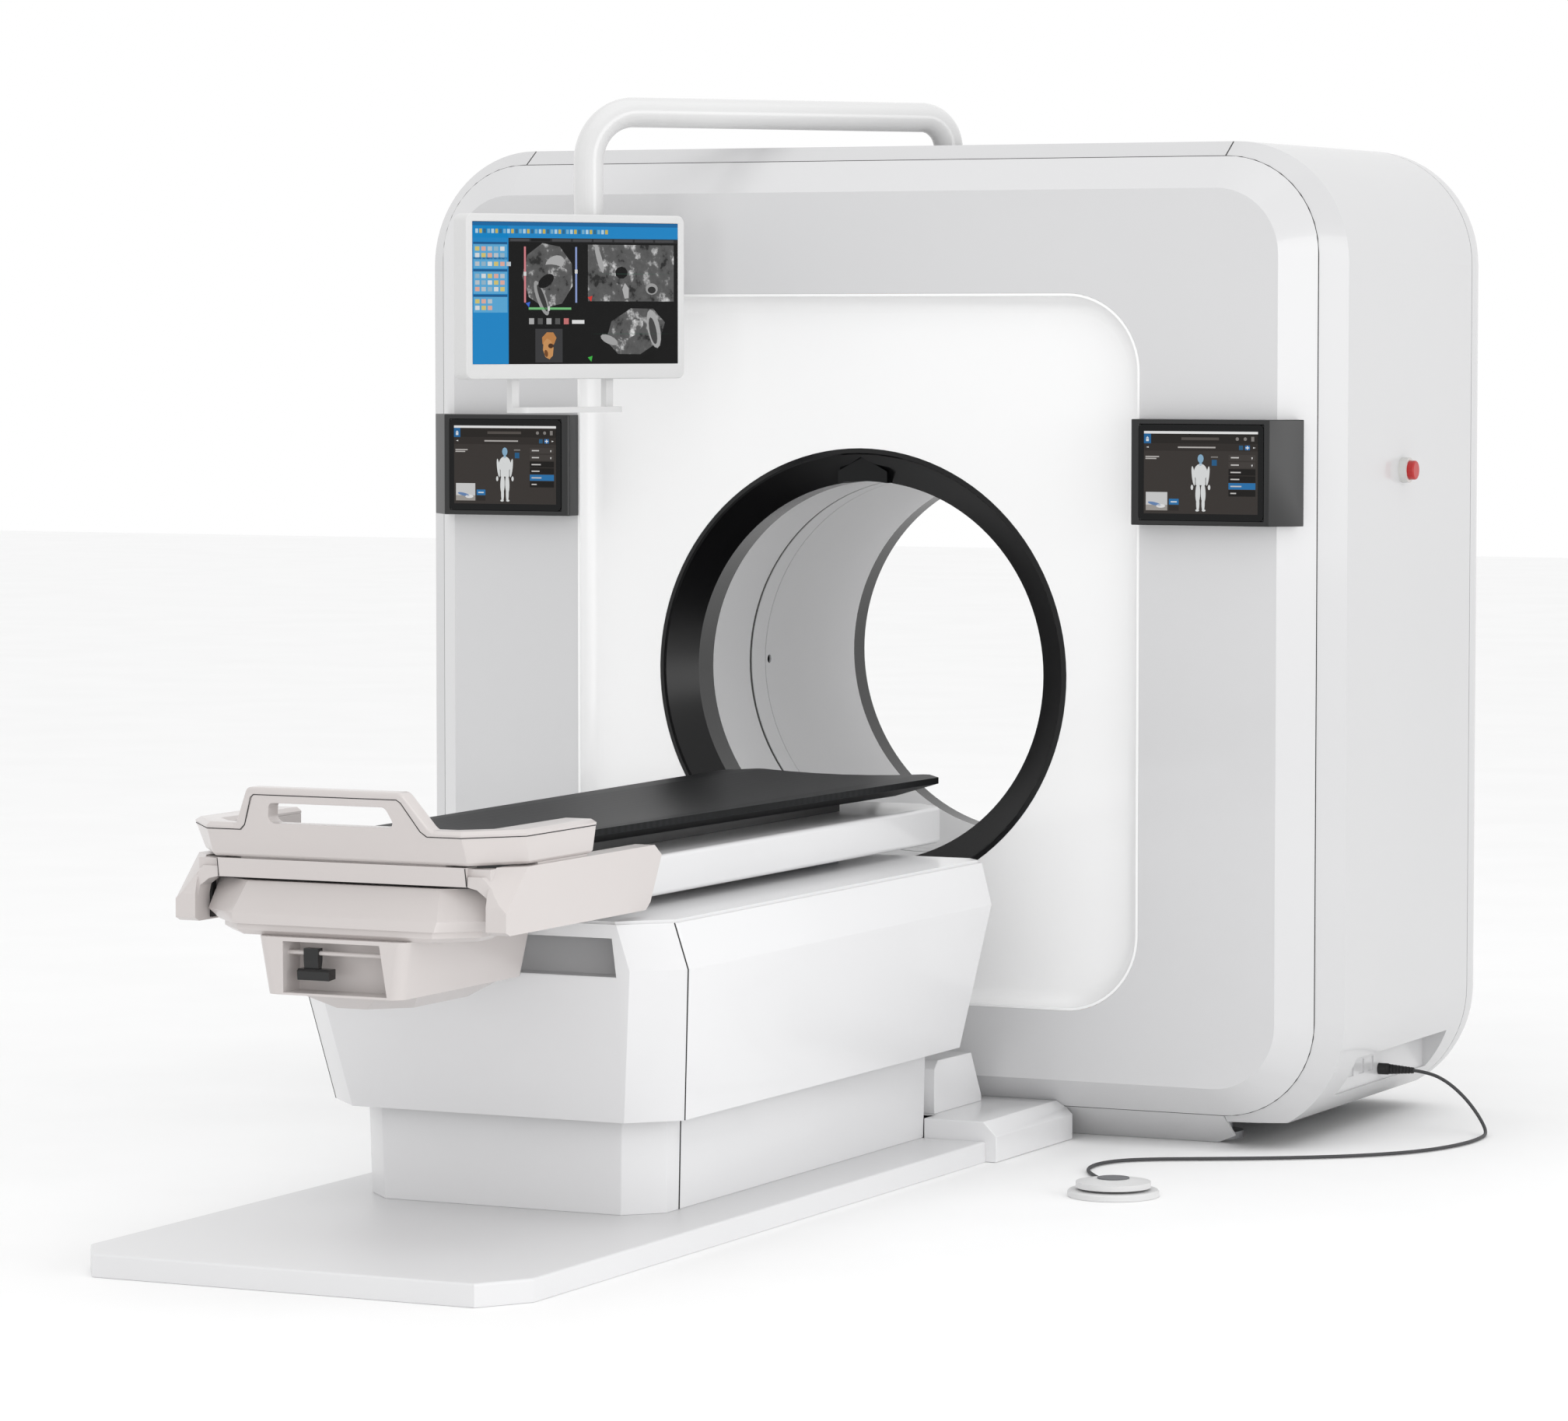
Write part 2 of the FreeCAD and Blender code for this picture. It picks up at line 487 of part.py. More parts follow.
def make_housing():
    low = cut_corners(355, -1570, -270, 80, 30)
    crease = cut_corners(400, -1635, -220, 80, 30)
    high = cut_corners(384, -1655, -231, 80, 30)
    w = HOUSING_WALL
    in_low = cut_corners(355 - w, -1570 + w, -270 - w, 79, 29)
    in_crease = cut_corners(400 - w, -1635 + w, -220 - w, 79, 29)
    in_high = cut_corners(384 - w, -1655 + w, -231 - w, 79, 29)
    shell = loft_z([(low, HOUSING_LOW), (crease, HOUSING_CREASE), (high, HOUSING_HIGH)])
    shell = shell.cut(loft_z([(in_low, HOUSING_LOW), (in_crease, HOUSING_CREASE), (in_high, HOUSING_HIGH)]))
    split = prism_x([(-1700, 200), (-1490, 200), (-1490, HOUSING_LOW), (-1579, HOUSING_HIGH), (-1579, 600),
                     (-1700, 600)], -450, 450)
    front = shell.common(split)
    notch = block(-292, 292, -1700, -1600, CHASSIS_LOW - 1, 548)
    recess = prism_x([(-1632, 474), (-1565, 470), (-1518, 548), (-1518, 552), (-1571, 476), (-1631, 478)],
                     -300, 300)
    recess = recess.common(loft_z([(low, HOUSING_LOW), (crease, HOUSING_CREASE), (high, HOUSING_HIGH)]))
    parts["housing_front"] = joined([front.cut(notch), recess])
    body = shell.cut(split)
    tower_way = block(-312, 312, -320, -200, HOUSING_LOW - 1, 372)
    body = body.cut(tower_way)
    parts["housing_left"] = body.common(block(-450, -0.5, -1700, -200, 200, 600))
    parts["housing_right"] = body.common(block(0.5, 450, -1700, -200, 200, 600))
    lid_low = cut_corners(384 - w - 1, -1655 + w + 1, -231 - w - 1, 79, 29)
    lid_high = cut_corners(384 - w - 3, -1655 + w + 3, -231 - w - 3, 79, 29)
    lid = loft_z([(lid_low, HOUSING_HIGH - 4), (lid_high, HOUSING_HIGH + 5)])
    for y in SUPPORT_YS:
        lid = lid.cut(block(-152, 152, y - 2, y + 102, 500, 600))
    parts["housing_top"] = lid
    make_chassis(loft_z([(in_low, HOUSING_LOW), (in_crease, HOUSING_CREASE), (in_high, HOUSING_HIGH)]))


# ---------------------------------------------------------------------------
# Couch: beam, table top and the foot-end module
# ---------------------------------------------------------------------------
END_FRONT = -2088.0
WING_HALF, WING_INNER = 323.0, 284.0
FRAME_LOW, FRAME_HIGH = 593.0, 705.0
GUARD_LOW, GUARD_HIGH = 708.0, 768.0
GUARD_SIDE, GUARD_BACK = 317.0, -1768.0
CAP_LOW = 757.0
END_LEAN = 0.45         # how far the guard leans out for each mm it rises
HANDLE_TOP = 833.0
HANDLE_THICK = 34.0
HOOD_BACK = -1990.0
HOOD_LOW, HOOD_HIGH = 596.0, 667.0
BOX_HALF, BOX_LOW, BOX_HIGH = 147.0, 478.0, 577.0
BELLY_LOW = 452.0
BOX_FRONT, BOX_BACK = -2120.0, -1660.0
LEVER_PIN_Y, LEVER_PIN_Z = -2096.0, 550.0
PIN_RADIUS = 4.0


def make_table():
    beam_outline = [(-BEAM_HALF, HOOD_BACK), (BEAM_HALF, HOOD_BACK), (BEAM_HALF, -130), (185, -86),
                    (-185, -86), (-BEAM_HALF, -130)]
    inside = [(5 - BEAM_HALF, HOOD_BACK + 5), (BEAM_HALF - 5, HOOD_BACK + 5), (BEAM_HALF - 5, -132), (183,
              -91),
              (-183, -91), (5 - BEAM_HALF, -132)]
    beam = prism_z(beam_outline, BEAM_LOW, BEAM_HIGH)
    edges = [e for e in beam.Edges if e.BoundBox.ZLength < 0.1 and e.BoundBox.YMin > HOOD_BACK - 0.1
             and e.BoundBox.YLength > 1]
    beam = beam.makeFillet(9, edges)
    parts["beam"] = beam.cut(prism_z(inside, BEAM_LOW + 5, BEAM_HIGH - 5))

    top = [(-190, -2035), (190, -2035), (197, -1500), (238, -143), (190, -80), (-190, -80), (-238, -143),
           (-197, -1500)]
    low = [(-120, -2020), (120, -2020), (124, -1500), (165, -190), (140, -120), (-140, -120), (-165, -190),
           (-124, -1500)]
    table = joined([loft_z([(low, TABLE_LOW), (top, TABLE_HIGH - 12)]), prism_z(top, TABLE_HIGH - 12,
                   TABLE_HIGH)])
    hollow = Part.makeCylinder(2600, 2200, V(0, -2150, TABLE_HIGH + 2600 - 6), V(0, 1, 0))
    parts["table_top"] = table.cut(hollow)
    runners = both_sides(block(60, 110, -1990, -330, BEAM_HIGH + GAP, TABLE_LOW))
    bracket = block(-118, 118, -2043, -2000, 672, TABLE_LOW)
    cross = block(-WING_INNER, WING_INNER, -2043, -1995, 672, 684)
    parts["table_carrier"] = Part.makeCompound(runners + [bracket.fuse(cross).removeSplitter()])


def leaning(z):
    """Front plane of the guard, which leans outwards as it rises."""
    return END_FRONT - END_LEAN * (z - GUARD_LOW)


def guard_outline(z, inset=0.0):
    front = leaning(z) + inset
    side = GUARD_SIDE + 0.15 * (z - GUARD_LOW) - inset
    corner = 248 - 0.4 * inset
    back = GUARD_BACK - 0.5 * inset
    return [(-side, back), (-side, front + 90), (-corner, front), (corner, front), (side, front + 90),
            (side, back)]


def guard_inside(z, inset=0.0):
    front = leaning(z) + 44 - inset
    side = 262 + inset
    corner = 222 + 0.4 * inset
    end = GUARD_BACK + 5
    return [(-side, end), (-side, front + 46), (-corner, front), (corner, front), (side, front + 46),
            (side, end)]


def slab(points, y_start, thickness):
    """Plate in the guard's leaning plane, given by its x and z corners."""
    corners = [V(x, leaning(z) + y_start, z) for x, z in points]
    face = Part.Face(Part.makePolygon(corners + corners[:1]))
    return face.extrude(V(0, thickness, 0))


def softened_slab(points, y_start, thickness, radius):
    plate = slab(points, y_start, thickness)
    across = [e for e in plate.Edges if e.BoundBox.YLength > thickness - 0.1 and e.BoundBox.ZLength < 0.1
              and e.BoundBox.XLength < 0.1 and e.BoundBox.ZMin > CAP_LOW + 1]
    return plate.makeFillet(radius, across)


def make_guard():
    seam = CAP_LOW - GAP
    ring = loft_z([(guard_outline(GUARD_LOW, 4), GUARD_LOW), (guard_outline(GUARD_LOW + 5), GUARD_LOW + 5),
                   (guard_outline(seam), seam)])
    ring = ring.cut(loft_z([(guard_inside(GUARD_LOW), GUARD_LOW - 1), (guard_inside(seam), CAP_LOW + 2)]))
    arch = [(-182, seam - 2), (-171, CAP_LOW + 9), (-141, HANDLE_TOP - 13), (141, HANDLE_TOP - 13),
            (171, CAP_LOW + 9), (182, seam - 2)]
    opening = [(-125, 770), (-113, 806), (113, 806), (125, 770)]
    gap = softened_slab(opening, -2, HANDLE_THICK + 4, 11)
    body = softened_slab(arch, 0, HANDLE_THICK, 9)
    parts["guard"] = without(joined([ring, body]), gap)

    cap = loft_z([(guard_outline(CAP_LOW), CAP_LOW), (guard_outline(CAP_LOW + 5), CAP_LOW + 5),
                  (guard_outline(GUARD_HIGH, 9), GUARD_HIGH)])
    cap = cap.cut(loft_z([(guard_inside(CAP_LOW), CAP_LOW - 1), (guard_inside(CAP_LOW + 4), CAP_LOW + 4),
                          (guard_inside(GUARD_HIGH, 6), GUARD_HIGH), (guard_inside(GUARD_HIGH, 7),
                              GUARD_HIGH + 1)]))
    outer = [(-205, CAP_LOW), (-187, CAP_LOW + 15), (-150, HANDLE_TOP), (150, HANDLE_TOP), (187,
             CAP_LOW + 15),
             (205, CAP_LOW)]
    grip = softened_slab(outer, 0, HANDLE_THICK + 2, 14)
    rims = [e for e in grip.Edges if e.BoundBox.YLength < 40 and e.BoundBox.ZMin > CAP_LOW + 20
            and e.BoundBox.XLength > 200]
    grip = grip.makeFillet(4, rims)
    inside_arch = [(-186 - GAP, CAP_LOW - 6), (-171 - GAP, CAP_LOW + 9), (-141 - GAP, HANDLE_TOP - 13 + GAP),
                   (141 + GAP, HANDLE_TOP - 13 + GAP), (171 + GAP, CAP_LOW + 9), (186 + GAP, CAP_LOW - 6)]
    parts["guard_cap"] = joined([cap, grip]).cut(softened_slab(inside_arch, -3, HANDLE_THICK + 12, 9))


def make_foot_end():
    make_guard()
    y = END_FRONT
    side = [(y + 6, 672), (y, FRAME_HIGH), (-1543, FRAME_HIGH), (-1516, 686), (-1560, 606), (-1578,
            FRAME_LOW),
            (-2078, FRAME_LOW), (-2092, 599), (-2092, 640), (y + 1, 660)]
    wing = prism_x(side, WING_INNER, WING_HALF)
    sweep = [(244, 672), (262, 668), (280, 655), (WING_INNER, 636), (WING_INNER, 690), (244, 690)]
    wing = joined([wing, prism_y(sweep, y + 6, y + 43.5)])
    facet = Part.Face(Part.makePolygon([V(244, y - 6, 706), V(WING_HALF + 4, y + 80, 706),
                      V(WING_HALF + 4, y - 2, 628),
                                        V(244, y - 6, 706)]))
    wing = wing.cut(facet.extrude(V(0, -120, 0)))
    bar = prism_x([(y + 6, 672), (y, FRAME_HIGH), (y + 43, FRAME_HIGH), (y + 43, 672)], -242, 242)
    tie = block(-WING_INNER - 1, WING_INNER + 1, y + 12, y + 43, 674, FRAME_HIGH - 2)
    pads = both_sides(block(WING_INNER + 4, WING_HALF - 10, -1960, -1780, FRAME_HIGH, GUARD_LOW))
    pads.append(block(-200, 200, y + 10, y + 40, FRAME_HIGH, GUARD_LOW))
    parts["end_frame"] = joined([bar, tie] + both_sides(wing) + pads)

    hood_low = [(-262, HOOD_BACK), (-262, y + 40), (-196, y - 26), (196, y - 26), (262, y + 40), (262,
                HOOD_BACK)]
    hood_fold = [(-278, HOOD_BACK), (-278, y + 30), (-200, y - 22), (200, y - 22), (278, y + 30), (278,
                 HOOD_BACK)]
    hood_high = [(-272, HOOD_BACK), (-272, y + 62), (-188, y + 12), (188, y + 12), (272, y + 62), (272,
                 HOOD_BACK)]
    hood = loft_z([(hood_low, HOOD_LOW), (hood_fold, HOOD_LOW + 18), (hood_high, HOOD_HIGH)])
    hollow = block(-245, 245, y + 70, HOOD_BACK - 5, HOOD_LOW + 5, HOOD_HIGH - 5)
    ledge_high = [(-252, HOOD_BACK), (-252, y + 42), (-190, y - 20), (190, y - 20), (252, y + 42), (252,
                  HOOD_BACK)]
    ledge_low = [(-240, HOOD_BACK), (-240, y + 48), (-182, y - 12), (182, y - 12), (240, y + 48), (240,
                 HOOD_BACK)]
    ledge = loft_z([(ledge_low, BOX_HIGH), (ledge_high, BOX_HIGH + 8), (ledge_high, HOOD_LOW)])
    parts["hood"] = joined([hood.cut(hollow), ledge])

    high = [(-BOX_HALF, BOX_BACK), (-BOX_HALF, BOX_FRONT), (BOX_HALF, BOX_FRONT), (BOX_HALF, BOX_BACK)]
    low = [(15 - BOX_HALF, BOX_BACK - 14), (15 - BOX_HALF, BOX_FRONT + 5), (BOX_HALF - 15, BOX_FRONT + 5),
           (BOX_HALF - 15, BOX_BACK - 14)]
    body = loft_z([(low, BOX_LOW), (high, BOX_HIGH)])
    upright = [e for e in body.Edges if e.BoundBox.ZLength > 50]
    body = body.makeFillet(22, upright)
    body = body.cut(block(24 - BOX_HALF, BOX_HALF - 24, BOX_FRONT + 75, BOX_BACK - 30, BOX_LOW + 5,
                    BOX_HIGH - 5))
    mouth = prism_y([(-96, BOX_LOW + 4), (-94, 570), (94, 570), (106, BOX_LOW + 4)], BOX_FRONT - 1,
                    BOX_FRONT + 60)
    pin = rod_x(-102, 102, LEVER_PIN_Y, LEVER_PIN_Z, PIN_RADIUS)
    dish_high = cut_corners(124, -2092, -1700, 50)
    dish_low = cut_corners(88, -2050, -1740, 60)
    belly = loft_z([(dish_low, BELLY_LOW), (dish_high, BOX_LOW)])
    parts["lower_box"] = joined([body.cut(mouth), pin, belly])
    y, z = LEVER_PIN_Y, LEVER_PIN_Z
    arm = prism_x([(y - 8, z + 8), (y + 8, z + 8), (y + 8, z - 12), (y + 4, 520), (y - 6, 520), (y - 8,
                  z - 12)], -62, -34)
    bar = prism_x([(y - 14, 519), (y - 10, 523), (y + 10, 523), (y + 10, 506), (y - 12, 504)], -72, -10)
    lever = joined([arm, bar])
    parts["release_lever"] = lever.cut(rod_x(-75, 0, y, z, PIN_RADIUS + 0.05))


# ---------------------------------------------------------------------------
# Overhead arm and monitor
# ---------------------------------------------------------------------------
POST_Y = 428.0
ARM_RADIUS = 30.0
ARM_Z = 2043.0
ARM_REACH = 817.0
ARM_HEADING = -127.55       # degrees from +x, seen from above
LEG_X = ARM_REACH * math.cos(math.radians(ARM_HEADING))
LEG_Y = POST_Y + ARM_REACH * math.sin(math.radians(ARM_HEADING))
LEG_LOW = 1636.0
POST_LOW = 1880.0
POST_BEND = 62.0
LEG_BEND = 100.0
MONITOR_TURN = 62.7         # how far the monitor is turned away from facing the couch
MONITOR_X = -108.0
MONITOR_HALF = 263.5
MONITOR_LOW, MONITOR_HIGH = 1510.0, 1835.0
MONITOR_FRONT, MONITOR_BACK = -112.0, -62.0
TILT_Y, TILT_Z = -48.0, 1672.0


def on_leg(shape):
    """Turns a shape made about the leg's axis to the monitor's heading and sets it there."""
    shape.rotate(V(0, 0, 0), V(0, 0, 1), MONITOR_TURN)
    shape.translate(V(LEG_X, LEG_Y, 0))
    return shape


def make_arm():
    heading = math.radians(ARM_HEADING)
    along = V(math.cos(heading), math.sin(heading), 0)
    post = V(0, POST_Y, 0)

    def at(reach, z):
        return post + along * reach + V(0, 0, z)

    def bend(reach, radius, sign):
        half = radius * (1 - math.sqrt(0.5))
        return Part.Arc(at(reach, ARM_Z - radius), at(reach + sign * half, ARM_Z - half),
                        at(reach + sign * radius, ARM_Z))

    path = Part.Wire([Part.makeLine(at(0, POST_LOW), at(0, ARM_Z - POST_BEND)),
                      bend(0, POST_BEND, 1).toShape(),
                      Part.makeLine(at(POST_BEND, ARM_Z), at(ARM_REACH - LEG_BEND, ARM_Z)),
                      bend(ARM_REACH, LEG_BEND, -1).toShape(),
                      Part.makeLine(at(ARM_REACH, ARM_Z - LEG_BEND), at(ARM_REACH, LEG_LOW))])
    circle = Part.Wire(Part.makeCircle(ARM_RADIUS, at(0, POST_LOW), V(0, 0, 1)))
    parts["arm_tube"] = path.makePipeShell([circle], True, True)

    hole = rod_z(0, POST_Y, POST_LOW - 5, 2000, ARM_RADIUS + 8)
    parts["top_cover"] = parts["top_cover"].cut(rod_z(0, POST_Y, 1900, 2100, ARM_RADIUS + 8.5))
    parts["stator_frame"] = parts["stator_frame"].cut(hole)
    floor = POST_LOW - GAP
    bush = rod_z(0, POST_Y, floor - 4, SIDE_HIGH, ARM_RADIUS + 7.95)
    flange = rod_z(0, POST_Y, SIDE_HIGH, SIDE_HIGH + 7, ARM_RADIUS + 14)
    parts["arm_bush"] = joined([bush, flange]).cut(rod_z(0, POST_Y, floor, 2000, ARM_RADIUS + 0.08))


def make_monitor():
    collar = rod_z(0, 0, LEG_LOW - GAP - 5, 1704, ARM_RADIUS + 6).cut(rod_z(0, 0, LEG_LOW - GAP, 1705,
        ARM_RADIUS + GAP))
    cheeks = []
    for x in (-42, 34):
        cheek = block(x, x + 8, TILT_Y, 0, TILT_Z - 11, TILT_Z + 11).fuse(rod_x(x, x + 8, TILT_Y, TILT_Z, 11))
        cheeks.append(cheek)
    yoke = joined([collar] + cheeks).cut(rod_z(0, 0, LEG_LOW - GAP, 1705, ARM_RADIUS + GAP))
    pin = rod_x(-42, 42, TILT_Y, TILT_Z, 5)
    parts["monitor_yoke"] = on_leg(joined([yoke, pin]))

    x0, x1 = MONITOR_X - MONITOR_HALF, MONITOR_X + MONITOR_HALF
    case = block(x0, x1, MONITOR_FRONT, MONITOR_BACK, MONITOR_LOW, MONITOR_HIGH)
    corners = [e for e in case.Edges if e.BoundBox.YLength > 40]
    case = case.makeFillet(16, corners)
    back = [e for e in case.Edges if e.BoundBox.YMin > MONITOR_BACK - 0.1]
    case = case.makeFillet(9, back)
    front = [e for e in case.Edges if e.BoundBox.YMax < MONITOR_FRONT + 0.1]
    case = case.makeFillet(2.5, front)
    screen = [MONITOR_X - 247.5, MONITOR_X + 247.5, 1540, 1819]
    case = case.cut(block(screen[0], screen[1], MONITOR_FRONT - 1, MONITOR_FRONT + 6, screen[2], screen[3]))
    knuckle = block(-33.7, 33.7, MONITOR_BACK, TILT_Y, TILT_Z - 9.5, TILT_Z + 9.5)
    knuckle = knuckle.fuse(rod_x(-33.7, 33.7, TILT_Y, TILT_Z, 9.5))
    case = joined([case, knuckle]).cut(rod_x(-34, 34, TILT_Y, TILT_Z, 5.05))
    parts["monitor_housing"] = on_leg(case)
    parts["monitor_screen"] = on_leg(block(screen[0], screen[1], MONITOR_FRONT + 1.5, MONITOR_FRONT + 6,
                                           screen[2], screen[3]))

    middle = MONITOR_X - 20
    half, strip = 122, 17
    plate = block(middle - half, middle + half, -132, -74, 1444, 1455)
    plate = plate.cut(block(middle - half + strip, middle + half - strip, -104, -73, 1443, 1456))
    arms = []
    for x in (middle - half, middle + half - strip):
        arms.append(block(x, x + strip, -92, -74, 1455, MONITOR_LOW))
    grip = joined([plate] + arms)
    rounds = [e for e in grip.Edges if e.BoundBox.ZLength > 8 and e.BoundBox.YMax < -131]
    parts["monitor_handle"] = on_leg(grip.makeFillet(14, rounds))


# ---------------------------------------------------------------------------
# Foot switch and its cord
# ---------------------------------------------------------------------------
SWITCH_X, SWITCH_Y = 827.0, -656.0
SWITCH_RADIUS = 85.5
SWITCH_TRAVEL = 4.0
TREAD_RADIUS = 70.0
CORD_RADIUS = 3.5
RELIEF_Y, RELIEF_Z = 452.0, 120.0
RELIEF_END = 1019.0
BOSS_REACH = 90.0
BOSS_HEADING = 120.5        # where the cord enters the switch, degrees from +x
CORD_ENTRY = (SWITCH_X + BOSS_REACH * math.cos(math.radians(BOSS_HEADING)),
              SWITCH_Y + BOSS_REACH * math.sin(math.radians(BOSS_HEADING)))
CORD_ROUTE = [(RELIEF_END, RELIEF_Y, RELIEF_Z), (1054, 453, 117), (1092, 456, 99), (1126, 459, 70), (1152,
              459, 39),
              (1171, 450, 14), (1183, 422, 4), (1190, 376, 4), (1192, 306, 4), (1180, 226, 4), (1152, 144, 4),
              (1104, 68, 4), (1036, -2, 4), (957, -62, 4), (872, -114, 4), (792, -157, 4), (722, -195, 4),
              (672, -238, 4), (650, -290, 4), (650, -345, 4), (666, -398, 4), (697, -446, 4), (731, -490, 4),
              (758, -534, 4), (CORD_ENTRY[0], CORD_ENTRY[1], 4)]


def cord_path(route):
    """Straight runs joined by tangent arcs, each arc as large as its two runs allow."""
    points = [V(*p) for p in route]
    edges = []
    radii = []
    last = points[0]
    length = 0.0
    for before, corner, after in zip(points, points[1:], points[2:]):
        back = (before - corner)
        ahead = (after - corner)
        shorter = min(back.Length, ahead.Length)
        back.normalize()
        ahead.normalize()
        turn = math.pi - back.getAngle(ahead)
        cut = 0.45 * shorter
        radius = cut / math.tan(turn / 2)
        start = corner + back * cut
        end = corner + ahead * cut
        to_centre = back + ahead
        to_centre.normalize()
        middle = corner + to_centre * (radius / math.cos(turn / 2) - radius)
        edges.append(Part.LineSegment(last, start).toShape())
        edges.append(Part.Arc(start, middle, end).toShape())
        length += (start - last).Length + radius * turn
        radii.append(radius)
        last = end
    edges.append(Part.LineSegment(last, points[-1]).toShape())
    length += (points[-1] - last).Length
    return Part.Wire(edges), radii, length


def make_foot_switch():
    plug = Part.makeCylinder(11.5, 20, V(POCKET_FACE, RELIEF_Y, RELIEF_Z), V(1, 0, 0))
    cone = Part.makeCone(10.5, 6, RELIEF_END - POCKET_FACE - 20, V(POCKET_FACE + 20, RELIEF_Y, RELIEF_Z),
                         V(1, 0, 0))
    relief = plug.fuse(cone)
    for step in range(7):
        x = POCKET_FACE + 24 + 7 * step
        groove = rod_x(x, x + 2.6, RELIEF_Y, RELIEF_Z, 15).cut(rod_x(x - 1, x + 4, RELIEF_Y, RELIEF_Z,
            8.6 - 0.6 * step))
        relief = relief.cut(groove)
    parts["strain_relief"] = relief

    wire, radii, length = cord_path(CORD_ROUTE)
    heading = V(*CORD_ROUTE[1]) - V(*CORD_ROUTE[0])
    circle = Part.Wire(Part.makeCircle(CORD_RADIUS, V(*CORD_ROUTE[0]), heading))
    cord = wire.makePipeShell([circle], True, True)
    parts["foot_cord"] = cord
    expected = math.pi * CORD_RADIUS ** 2 * length
    print("cord radii", [round(r) for r in radii])
    print("cord length", round(length), "volume ratio", round(cord.Volume / expected, 4))

    x, y = SWITCH_X, SWITCH_Y
    base = rod_z(x, y, 0, 12, SWITCH_RADIUS)
    base = base.makeChamfer(3, [e for e in base.Edges if e.BoundBox.ZMin > 11.9])
    boss = block(x, x + BOSS_REACH, y - 9, y + 9, 0, 9)
    boss.rotate(V(x, y, 0), V(0, 0, 1), BOSS_HEADING)
    base = joined([base, boss])
    base = without(base, rod_z(x, y, 3, 13, 9), rod_z(x, y, 6, 13, 18))
    parts["foot_switch_base"] = base
    low = 12 + SWITCH_TRAVEL + 0.5
    tread = rod_z(x, y, low, 27, TREAD_RADIUS)
    dome = Part.makeCone(TREAD_RADIUS, 36, 5.5, V(x, y, 27))
    stem = rod_z(x, y, 3 + SWITCH_TRAVEL + GAP, low, 8.9)
    tread = joined([tread, dome, stem]).cut(rod_z(x, y, low - 1, 22, 18).cut(rod_z(x, y, low - 2, 23, 8.9)))
    parts["foot_switch_tread"] = tread
    parts["foot_switch_pad"] = rod_z(x, y, 32.5, 34.5, 30)
    coil_height = 22 - 6
    turns = 3
    helix = Part.makeHelix(coil_height / turns - 0.6, coil_height - 1.8, 13.5)
    profile = Part.Wire(Part.makeCircle(0.8, V(13.5, 0, 0), V(0, 1, 0)))
    spring = Part.Wire(helix).makePipeShell([profile], True, True)
    spring.translate(V(x, y, 6.9))
    parts["foot_switch_spring"] = spring


# ---------------------------------------------------------------------------
# Build and export
# ---------------------------------------------------------------------------
def export_all():
    os.makedirs("parts", exist_ok=True)
    for name, shape in parts.items():
        shape.translate(V(0, -ORIGIN_Y, 0))
        shape.exportStep("parts/" + name + ".step")
        print(name, len(shape.Solids), round(shape.Volume / 1e6, 3), shape.isValid())


make_front()
make_shell()
make_bore()
make_controls()
make_base()
make_rotor()
make_floor()
make_skirt()
make_column()
make_housing()
make_table()
make_foot_end()
make_arm()
make_monitor()
make_foot_switch()
export_all()
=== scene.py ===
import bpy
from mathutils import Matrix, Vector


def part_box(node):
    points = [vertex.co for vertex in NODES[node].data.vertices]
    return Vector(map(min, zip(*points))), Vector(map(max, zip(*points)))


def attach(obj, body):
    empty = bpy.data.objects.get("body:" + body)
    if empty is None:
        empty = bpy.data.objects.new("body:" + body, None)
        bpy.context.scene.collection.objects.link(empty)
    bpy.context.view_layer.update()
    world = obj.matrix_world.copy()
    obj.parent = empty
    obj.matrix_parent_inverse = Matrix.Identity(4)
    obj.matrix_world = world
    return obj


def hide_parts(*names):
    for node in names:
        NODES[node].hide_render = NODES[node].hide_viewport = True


bl_info = {
    "name": "Ring Scanner",
    "version": (1, 0, 0),
    "blender": (4, 5, 0),
    "location": "3D View > Sidebar > Scanner",
    "description": "Finishes, displays, foot cord and studio for a scanner with its couch",
    "category": "Object",
}

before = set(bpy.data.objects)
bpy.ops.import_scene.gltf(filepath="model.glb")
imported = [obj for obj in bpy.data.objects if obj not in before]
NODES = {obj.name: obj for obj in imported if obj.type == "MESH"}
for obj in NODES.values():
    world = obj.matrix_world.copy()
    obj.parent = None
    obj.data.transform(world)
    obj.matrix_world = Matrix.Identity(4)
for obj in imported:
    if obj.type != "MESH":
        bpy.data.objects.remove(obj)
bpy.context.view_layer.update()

import math

import bpy
from bpy.props import FloatProperty, FloatVectorProperty, PointerProperty
from mathutils import Matrix, Vector

MM = 0.001
DISPLAY_FILM = (0.01, 0.01, 0.01)
PAGE_GAP = 0.0002       # from a display's glass to the page before it


# ---------------------------------------------------------------------------
# Colours and sizes that a user would change
# ---------------------------------------------------------------------------
def linear(text):
    """An sRGB hex colour as linear red, green and blue."""
    values = [int(text[i:i + 2], 16) / 255 for i in (1, 3, 5)]
    return tuple(v / 12.92 if v <= 0.04045 else ((v + 0.055) / 1.055) ** 2.4 for v in values)


